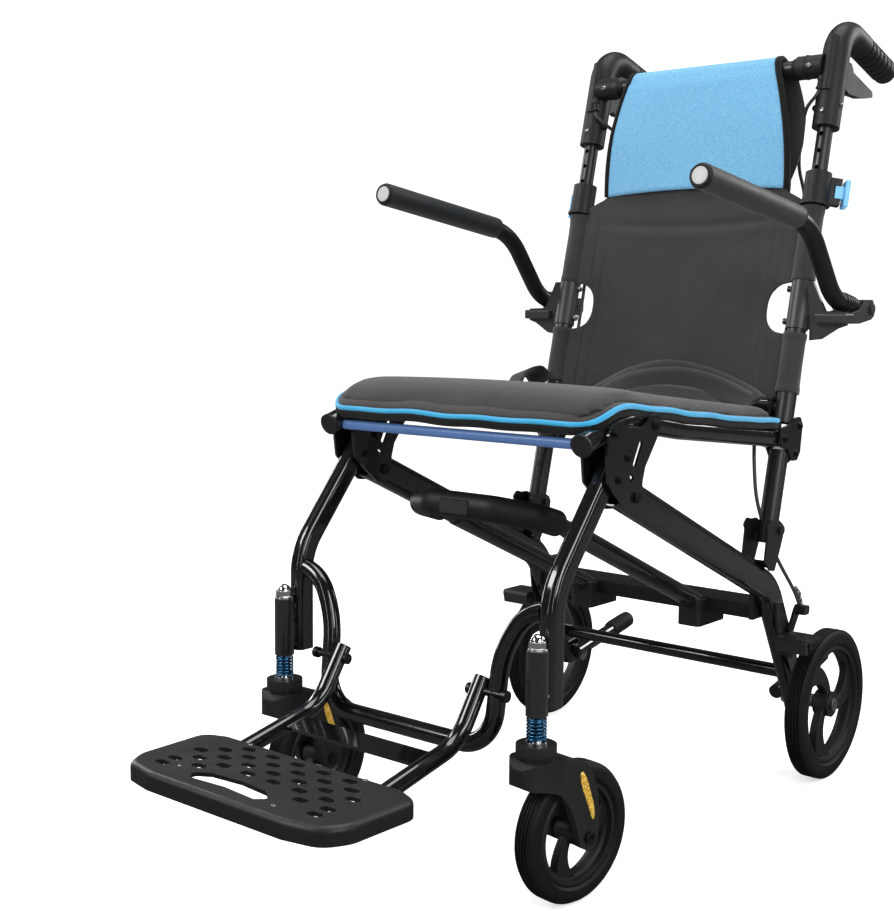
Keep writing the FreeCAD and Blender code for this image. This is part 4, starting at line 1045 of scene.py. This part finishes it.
# Each band: width in metres, points in mm, face direction at each point
BELT_BANDS = [
    # long band lying in a flattened roll across the rear of the seat
    (0.040,
     [(-74, -116, 503), (-48, -116, 512), (-8, -112, 523), (44, -107, 528),
      (92, -105, 522), (132, -106, 512), (160, -104, 504)],
     [(0, -0.5, 0.85), (-0.1, -0.75, 0.6), (0, -0.88, 0.45), (0.05, -0.9, 0.42),
      (0.1, -0.8, 0.55), (0.1, -0.55, 0.8), (0.0, -0.3, 0.95)]),
    # its return, behind and above
    (0.040,
     [(160, -100, 506), (122, -92, 517), (70, -89, 531), (16, -90, 536),
      (-34, -94, 527), (-70, -100, 513), (-88, -108, 503)],
     [(0.0, -0.3, 0.95), (0, -0.7, 0.7), (0, -0.85, 0.5), (0, -0.9, 0.4),
      (0, -0.8, 0.6), (0, -0.6, 0.8), (0, -0.4, 0.9)]),
    # narrower band in front
    (0.034,
     [(-60, -124, 502), (-20, -124, 509), (30, -122, 513), (84, -120, 510),
      (126, -118, 503), (150, -116, 498)],
     [(0, -0.3, 0.95), (0, -0.55, 0.8), (0, -0.6, 0.75), (0, -0.55, 0.8),
      (0, -0.3, 0.95), (0, -0.2, 1.0)]),
    # loop that stands up at the user's right
    (0.032,
     [(-188, -80, 514), (-196, -84, 523), (-202, -94, 531), (-203, -116, 530),
      (-198, -136, 517), (-190, -150, 500)],
     [(-1, 0.1, 0.3), (-0.9, 0, 0.6), (-0.5, 0, 0.9), (-0.35, -0.1, 1),
      (-0.4, -0.6, 0.8), (-0.5, -0.7, 0.4)]),
]


def make_band(width, points, directions, thickness=0.0022, steps=10):
    """Flat webbing; its UV map holds the length run and the place across, in metres."""
    path = catmull([place(*point) for point in points], steps)
    normals = catmull(directions, steps)
    vertices, coordinates = [], []
    run = 0.0
    for i, point in enumerate(path):
        along = (path[min(len(path) - 1, i + 1)] - path[max(0, i - 1)]).normalized()
        normal = (normals[i] - along * normals[i].dot(along)).normalized()
        across = along.cross(normal)
        if i:
            run += (point - path[i - 1]).length
        for u, v in WEBBING_SECTION:
            vertices.append(point + across * (u * width / 2) + normal * (v * thickness / 2))
            coordinates.append((run, u * width / 2))
    size = len(path), len(WEBBING_SECTION)
    band = add_mesh("part", vertices, tube_faces(*size) + cap_faces(*size), WEBBING)
    layer = band.data.uv_layers.new(name="uv")
    for loop in band.data.loops:
        layer.data[loop.index].uv = coordinates[loop.vertex_index]
    return band


belt = join("lap_belt_webbing", [make_band(*entry) for entry in BELT_BANDS])
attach(belt, "seat_frame")
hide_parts("lap_belt")
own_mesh(belt)

# ------------------------------------------------------------------ caster reflectors
LEFT_CASTER_TURN = math.radians(-8.0)
# (y, z) outline of a reflector
REFLECTOR_OUTLINE = [(-560, 148), (-553, 146), (-541, 118), (-537, 98), (-541, 95),
                     (-548, 112), (-557, 132)]
# inset of the outline, distance from the caster's middle plane
REFLECTOR_LAYERS = [(0.0, 24.45), (0.0, 25.3), (0.9, 25.9), (2.2, 26.4)]


def caster_place(side, x, y, z):
    """Scene point from x off the caster axis; the left caster is turned about its stem."""
    if side < 0:
        return place(-CASTER_X + x, y, z)
    cosine, sine = math.cos(LEFT_CASTER_TURN), math.sin(LEFT_CASTER_TURN)
    behind = y - CASTER_Y
    return place(CASTER_X + (x * cosine - behind * sine),
                 CASTER_Y + (x * sine + behind * cosine), z)


def make_reflector(side, face):
    """One reflector, on the +x (face 1) or -x (face -1) cheek of a caster."""
    count = len(REFLECTOR_OUTLINE)
    centre_y = sum(y for y, _ in REFLECTOR_OUTLINE) / count
    centre_z = sum(z for _, z in REFLECTOR_OUTLINE) / count
    outline = catmull([(0, y, z) for y, z in REFLECTOR_OUTLINE], 5, closed=True)
    vertices = []
    for inset, x in REFLECTOR_LAYERS:
        for point in outline:
            inward = Vector((0, centre_y - point.y, centre_z - point.z)).normalized()
            moved = point + inward * inset
            vertices.append(caster_place(side, face * x, moved.y, moved.z))
    size = len(REFLECTOR_LAYERS), len(outline)
    return add_mesh("part", vertices, tube_faces(*size) + cap_faces(*size), REFLECTOR)


for side, side_name in SIDES:
    reflectors = join(side_name + "_caster_reflectors",
                      [make_reflector(side, 1), make_reflector(side, -1)])
    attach(reflectors, side_name + "_swivel_fork")

# ------------------------------------------------------------------ brake cables
# (x, y, z) of the left cable from the handle down; the right one is its mirror image
UPPER_CABLE = [(176, 20, 912), (172, 17, 902), (158, 22, 889), (145, 38, 872),
               (139, 44, 846), (143, 36, 812), (156, 26, 778), (166, 16, 740)]
BACK_CABLE = [(166, 16, 740), (168, -2, 700), (166, -18, 640), (164, -34, 580),
              (158, -46, 530), (156, -56, 500)]
LOWER_CABLE = [(156, -56, 500), (158, -92, 470), (168, -112, 420), (176, -112, 370),
               (190, -90, 310), (203, -62, 262), (205, -47, 240)]


def make_cable(name, side, points, radius=0.0024):
    path = catmull([place(side * x, y, z) for x, y, z in points], 10)
    return add_mesh(name, *sweep(path, circle(radius, 12)), CABLE)


for side, side_name in SIDES:
    upper = make_cable(side_name + "_upper_brake_cable", side, UPPER_CABLE)
    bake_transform(upper)
    middle = make_cable(side_name + "_back_brake_cable", side, BACK_CABLE)
    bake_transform(middle)
    lower = make_cable(side_name + "_lower_brake_cable", side, LOWER_CABLE)
    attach(lower, "base_frame")


# ------------------------------------------------------------------ small hardware
def axis_frame(axis):
    """Two directions square to a unit axis and to each other."""
    first = axis.orthogonal().normalized()
    return first, axis.cross(first)


def lathe(origin, axis, profile, material, segments):
    """Turn (radius, height) points in mm about an axis through origin."""
    axis = Vector(axis).normalized()
    first, second = axis_frame(axis)
    vertices = []
    for radius, height in profile:
        for i in range(segments):
            angle = 2 * math.pi * i / segments
            vertices.append(Vector(origin) + axis * (height / 1000.0)
                            + first * (radius * math.cos(angle) / 1000.0)
                            + second * (radius * math.sin(angle) / 1000.0))
    size = len(profile), segments
    return add_mesh("part", vertices, tube_faces(*size) + cap_faces(*size), material)


def screw(origin, axis, radius, height):
    """Zinc screw head, domed, with a round socket."""
    # shares of the head radius and height
    shape = [(1, 0), (1, 0.45), (0.93, 0.72), (0.74, 0.93), (0.5, 1), (0.44, 1), (0.42, 0.35)]
    profile = [(a * radius, b * height) for a, b in shape]
    return lathe(origin, axis, profile, ZINC, 24)


def kit(name, parts, body):
    """Join small parts, sharpen their edges and fix them to a body of the frame."""
    obj = join(name, parts)
    obj.data.set_sharp_from_angle(angle=math.radians(34))
    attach(obj, body)


# (radius, height) profiles
FRONT_CAP_RIM = [(12.6, -0.6), (12.9, 0.3), (12.6, 1.1), (11.3, 1.5), (10.4, 1.2),
                 (9.9, 0.5), (6.0, 0.3), (1.2, 0.6)]
FRONT_CAP_DISC = [(9.7, 0.2), (9.7, 1.0), (9.3, 1.4), (8.5, 1.45), (8.3, 1.2), (7.9, 1.2),
                  (7.7, 1.45), (4.0, 1.6), (0.8, 1.65)]
REAR_CAP = [(14.2, -0.8), (14.3, 0.4), (13.4, 1.1), (12.2, 1.2)]
COLLAR = [(15.6, -1.5), (15.7, 0.6), (14.6, 1.8), (13.4, 2.0), (13.3, 5.4), (12.6, 6.4),
          (11.3, 6.6)]
COLLAR_RING = [(15.6, -1.2), (16.3, -0.8), (16.3, 0.8), (15.6, 1.2)]
ADJUSTER = [(2.2, 0), (3.6, 0.4), (3.6, 4.0), (2.6, 4.6), (2.6, 8.0), (4.4, 8.4), (4.6, 9.0),
            (4.6, 15.0), (4.2, 15.8), (3.2, 16.2), (3.0, 22.0), (2.0, 22.6)]
CABLE_STOP = [(3.0, -7), (5.2, -6.6), (5.2, -4.6), (4.4, -4.0), (4.4, 4.0), (5.6, 4.6),
              (5.6, 10.0), (4.8, 11.0)]
REAR_CLIP = [(5.4, -2), (5.8, 0.5), (5.0, 3.6), (3.0, 4.4)]
INNER_CLIP = [(5.0, -2), (5.4, 0.6), (3.4, 5.0), (1.6, 6.2)]
GRIP_STUD = [(2.5, -1.0), (2.5, 0.5), (2.0, 1.1), (1.4, 1.1), (1.2, 0.6)]


def add_armrest_caps(side, side_name):
    """At the front of the armrest pad a rim round a dished plug, at the rear a plain cap."""
    forward = Vector((0, -232.0, 32.5)).normalized()
    rear_end = place(side * 231.0, -146.0, 734.6)
    front_end = rear_end + forward * 0.236
    kit(side_name + "_armrest_end_caps",
        [lathe(front_end, forward, FRONT_CAP_RIM, PLASTIC, 36),
         lathe(front_end, forward, FRONT_CAP_DISC, CAP_DISC, 36),
         lathe(rear_end, -forward, REAR_CAP, PLASTIC, 36)],
        side_name + "_armrest")


def add_bar_collar(side, side_name):
    """Collar and ring on the end of the upper bar."""
    kit(side_name + "_bar_collar",
        [lathe(place(side * 140.0, BAR_Y, BAR_Z), X_AXIS * -side, COLLAR, PLASTIC, 36),
         lathe(place(side * 152.0, BAR_Y, BAR_Z), X_AXIS * -side, COLLAR_RING, PLASTIC, 36)],
        "push_frame")


def add_head_screws(side, side_name):
    """Screws at the front, the outer side and the user's side of the handle head."""
    front = place(side * 160.0, BAR_Y, BAR_Z) + Vector((0, -0.0153, 0.0))
    outer = on_back(side * BACK_TUBE_X, 889.0) + Vector((side * 0.0176, 0, 0))
    user_side = on_back(side * BACK_TUBE_X, 878.0) + BACK_NORMAL * 0.0178
    kit(side_name + "_head_screws",
        [screw(front, (0, -1, 0), radius=3.6, height=2.4),
         screw(outer, (side, 0, 0), radius=3.2, height=2.0),
         screw(user_side, BACK_NORMAL, radius=3.2, height=2.0)],
        "push_frame")


def add_bracket_screws(side, side_name):
    """Clamp screws through the lugs of the armrest bracket."""
    kit(side_name + "_bracket_screws",
        [screw(on_back(side * (BACK_TUBE_X - 18.0), z), (-side, 0, 0), radius=4.4, height=2.6)
         for z in (608.0, 650.0)],
        "backrest")


def add_stem_weld(side, side_name, points=34):
    """Two beads between the stem housing and the leg."""
    bottom, top = 220.0, 272.0
    swell = [1.0 + 0.22 * math.sin(i * 2.4) for i in range(points)]
    beads = []
    for offset in (-4.2, 4.2):
        path = [place(side * (CASTER_X + offset), -587.6 + 0.4 * math.sin(i * 1.9),
                      bottom + (top - bottom) * i / (points - 1)) for i in range(points)]
        beads.append(add_mesh("part", *sweep(path, circle(0.0019, 8), scale=swell), GLOSS))
    kit(side_name + "_stem_weld", beads, "front_frame")


def make_coil(start, end, radius, wire, turns, material):
    axis = (end - start).normalized()
    first, second = axis_frame(axis)
    count = turns * 14
    path = []
    for i in range(count + 1):
        angle = 2 * math.pi * turns * i / count
        path.append(start + (end - start) * (i / count) + first * radius * math.cos(angle)
                    + second * radius * math.sin(angle))
    return add_mesh("part", *sweep(path, circle(wire, 8)), material)


def add_brake_adjuster(side, side_name):
    """Barrel adjuster of the brake cable, with its return spring below."""
    foot = place(side * 205.5, -46.0, 244.0)
    axis = (place(side * 203.5, -60.0, 268.0) - foot).normalized()
    coil = make_coil(foot - axis * 0.016, foot, radius=0.0034, wire=0.0006, turns=7,
                     material=CHROME)
    kit(side_name + "_brake_adjuster", [lathe(foot, axis, ADJUSTER, ZINC, 20), coil],
        "base_frame")


def add_cable_stop(side, side_name):
    """Finned cable stop at the handle neck, and a clip behind and inside the tube."""
    stop = place(side * 176.0, 21.0, 917.0)
    rear = place(side * BACK_TUBE_X, back_y(890.0) + 17.0, 890.0)
    inner = on_back(side * (BACK_TUBE_X - 16.5), 888.0)
    kit(side_name + "_lever_wires",
        [lathe(stop, (side * 4, 6, 30), CABLE_STOP, PLASTIC, 20),
         lathe(rear, (0, 1, 0), REAR_CLIP, DARK_STEEL, 20),
         lathe(inner, (-side, 0, 0), INNER_CLIP, PLASTIC, 20)],
        "push_frame")


def add_grip_studs(side, side_name, rows=9, columns=9):
    """Staggered rows of studs round one half of the handle grip."""
    neck = place(side * BACK_TUBE_X, back_y(996.0) + 1.0, 996.0)
    tip = place(side * BACK_TUBE_X, 211.0, 953.5)
    axis = (tip - neck).normalized()
    start = neck + (tip - neck) * 0.40
    row_pitch_run = (tip - start).length - 0.022
    square = X_AXIS.cross(axis).normalized()
    studs = []
    for row in range(rows):
        for column in range(columns):
            stagger = 10 if row % 2 else 0
            angle = math.radians(-80 + 20 * column + stagger) + math.pi / 2
            outward = square * math.sin(angle) + X_AXIS * math.cos(angle)
            along = 0.010 + row * row_pitch_run / (rows - 1)
            studs.append(lathe(start + axis * along + outward * 0.0166, outward, GRIP_STUD,
                               PLASTIC, 10))
    kit(side_name + "_grip_studs", studs, "push_frame")


def add_suspension_spring(side, side_name):
    """Spring with close end coils and open coils between, squashed with its suspension."""
    turns, end_turns, steps_per_turn = 7.0, 0.9, 30
    bottom, top, end_rise = 187.0, 209.0, 1.4
    coil_radius = 9.5
    open_rise = top - bottom - 2 * end_rise
    count = int(turns) * steps_per_turn
    path = []
    for i in range(count + 1):
        turn = turns * i / count
        if turn < end_turns:
            z = bottom + end_rise * turn / end_turns
        elif turn > turns - end_turns:
            z = top - end_rise + end_rise * (turn - (turns - end_turns)) / end_turns
        else:
            z = bottom + end_rise + open_rise * (turn - end_turns) / (turns - 2 * end_turns)
        angle = 2 * math.pi * turn
        path.append(place(side * CASTER_X + coil_radius * math.cos(angle),
                          CASTER_Y + coil_radius * math.sin(angle), z))
    spring = add_mesh(side_name + "_suspension_spring",
                      *sweep(path, circle(0.00125, 10), up=(0, 0, 1)), SPRING_STEEL)
    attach(spring, side_name + "_stem")
    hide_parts(side_name + "_caster_spring")
    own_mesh(spring)


for side, side_name in SIDES:
    add_armrest_caps(side, side_name)
    add_bar_collar(side, side_name)
    add_head_screws(side, side_name)
    add_bracket_screws(side, side_name)
    add_stem_weld(side, side_name)
    add_brake_adjuster(side, side_name)
    add_cable_stop(side, side_name)
for side, side_name in SIDES:
    add_grip_studs(side, side_name)
for side, side_name in SIDES:
    add_suspension_spring(side, side_name)

FOOTPLATE_SCREWS = ((-84.0, -745.5), (84.0, -745.5), (-88.0, -838.0), (66.0, -852.0))
kit("footplate_screws",
    [screw(place(x, y, 157.9), (0, 0, 1), radius=2.6, height=1.2) for x, y in FOOTPLATE_SCREWS],
    "footrest")

# ------------------------------------------------------------------ camera
# The camera stands in front on the user's left and looks rearward and slightly down.
AZIMUTH, PITCH, ROLL = math.radians(39.98), math.radians(6.33), math.radians(0.47)


def add_camera():
    data = bpy.data.cameras.new("cam")
    camera = bpy.data.objects.new("cam", data)
    COLLECTION.objects.link(camera)
    forward = Vector((-math.sin(AZIMUTH) * math.cos(PITCH),
                      math.cos(AZIMUTH) * math.cos(PITCH), -math.sin(PITCH)))
    level = Vector((math.cos(AZIMUTH), math.sin(AZIMUTH), 0))
    upright = level.cross(forward)
    right = level * math.cos(ROLL) + upright * math.sin(ROLL)
    up = -level * math.sin(ROLL) + upright * math.cos(ROLL)
    matrix = Matrix((right, up, -forward)).transposed().to_4x4()
    matrix.translation = place(996.5, -1712.3, 629.7)
    camera.matrix_world = matrix
    data.sensor_width = 36.0
    data.sensor_fit = "AUTO"
    data.lens = 54.711306
    data.clip_end = 50.0
    bpy.context.scene.camera = camera


# ------------------------------------------------------------------ studio, in metres
def studio_paper(name):
    """White paper that looks dark in reflections and glows a little to the camera."""
    s = Shader(name)
    rays = s.node("ShaderNodeLightPath")
    paper = s.mix(s.noise(scale=1.5, detail=2), grey(0.84), grey(0.87))
    paper = s.mix(rays.outputs["Is Glossy Ray"], paper, grey(0.10))
    glow = s.calc("MULTIPLY", rays.outputs["Is Camera Ray"], 0.55)
    return s.finish(paper, 0.9, Specular_IOR_Level=0.1, Emission_Color=grey(1.0),
                    Emission_Strength=glow)


def add_floor(half_width=14.0, bend_start=5.0, bend_radius=2.5, bend_steps=12, top=9.0):
    """Floor that curves up into a wall behind the chair as the camera sees it."""
    profile = [(-half_width, 0.0), (bend_start, 0.0)]
    for i in range(1, bend_steps + 1):
        angle = math.pi / 2 * i / bend_steps
        profile.append((bend_start + bend_radius * math.sin(angle),
                        bend_radius - bend_radius * math.cos(angle)))
    profile.append((bend_start + bend_radius, top))
    vertices = [(x, y, z) for y, z in profile for x in (-half_width, half_width)]
    faces = [(2 * i, 2 * i + 1, 2 * i + 3, 2 * i + 2) for i in range(len(profile) - 1)]
    mesh = bpy.data.meshes.new("studio_floor")
    mesh.from_pydata(vertices, [], faces)
    floor = bpy.data.objects.new("studio_floor", mesh)
    COLLECTION.objects.link(floor)
    floor.rotation_euler = (0, 0, AZIMUTH)
    shade_smooth(mesh)
    mesh.materials.append(studio_paper("studio_paper"))


def set_world(camera_level=1.0, glossy_level=0.055, soft_level=0.60):
    """White behind the object, dim for reflections and medium for soft light."""
    world = bpy.data.worlds.new("studio")
    bpy.context.scene.world = world
    world.use_nodes = True
    nodes, links = world.node_tree.nodes, world.node_tree.links
    background = nodes["Background"]
    background.inputs[0].default_value = (1, 1, 1, 1)
    rays = nodes.new("ShaderNodeLightPath")
    room = nodes.new("ShaderNodeMix")
    room.data_type = "FLOAT"
    room.inputs[2].default_value = soft_level
    room.inputs[3].default_value = glossy_level
    links.new(rays.outputs["Is Glossy Ray"], room.inputs[0])
    level = nodes.new("ShaderNodeMix")
    level.data_type = "FLOAT"
    level.inputs[3].default_value = camera_level
    links.new(rays.outputs["Is Camera Ray"], level.inputs[0])
    links.new(room.outputs[0], level.inputs[2])
    links.new(level.outputs[0], background.inputs[1])


def set_view():
    view = bpy.context.scene.view_settings
    view.view_transform = "Standard"
    view.look = "None"
    view.exposure = 0.0
    view.gamma = 1.0


LIGHT_TARGET = Vector((0, 0, 0.45))
# name, location, width, height, watts
LIGHTS = (
    ("key", (-1.6, -2.6, 2.6), 1.4, 1.4, 52),
    ("fill", (2.6, -0.9, 1.7), 0.9, 2.0, 26),
    ("top", (0.2, 0.3, 3.2), 2.0, 2.0, 44),
    ("rim", (1.2, 2.4, 1.8), 1.0, 1.0, 26),
    ("strip", (-2.4, 0.2, 1.2), 0.4, 2.2, 20),
    ("strip_right", (2.5, -2.3, 1.3), 0.10, 2.4, 7),
    ("strip_front", (-0.5, -3.3, 1.2), 0.10, 2.2, 7),
    ("strip_side", (2.9, 0.9, 1.1), 0.12, 2.2, 7),
)


def add_light(name, location, width, height, watts):
    data = bpy.data.lights.new(name, "AREA")
    data.shape = "RECTANGLE"
    data.size = width
    data.size_y = height
    data.energy = watts
    light = bpy.data.objects.new(name, data)
    COLLECTION.objects.link(light)
    light.location = location
    aim = LIGHT_TARGET - Vector(location)
    light.rotation_euler = aim.to_track_quat("-Z", "Y").to_euler()


add_camera()
add_floor()
set_world()
set_view()
for entry in LIGHTS:
    add_light(*entry)
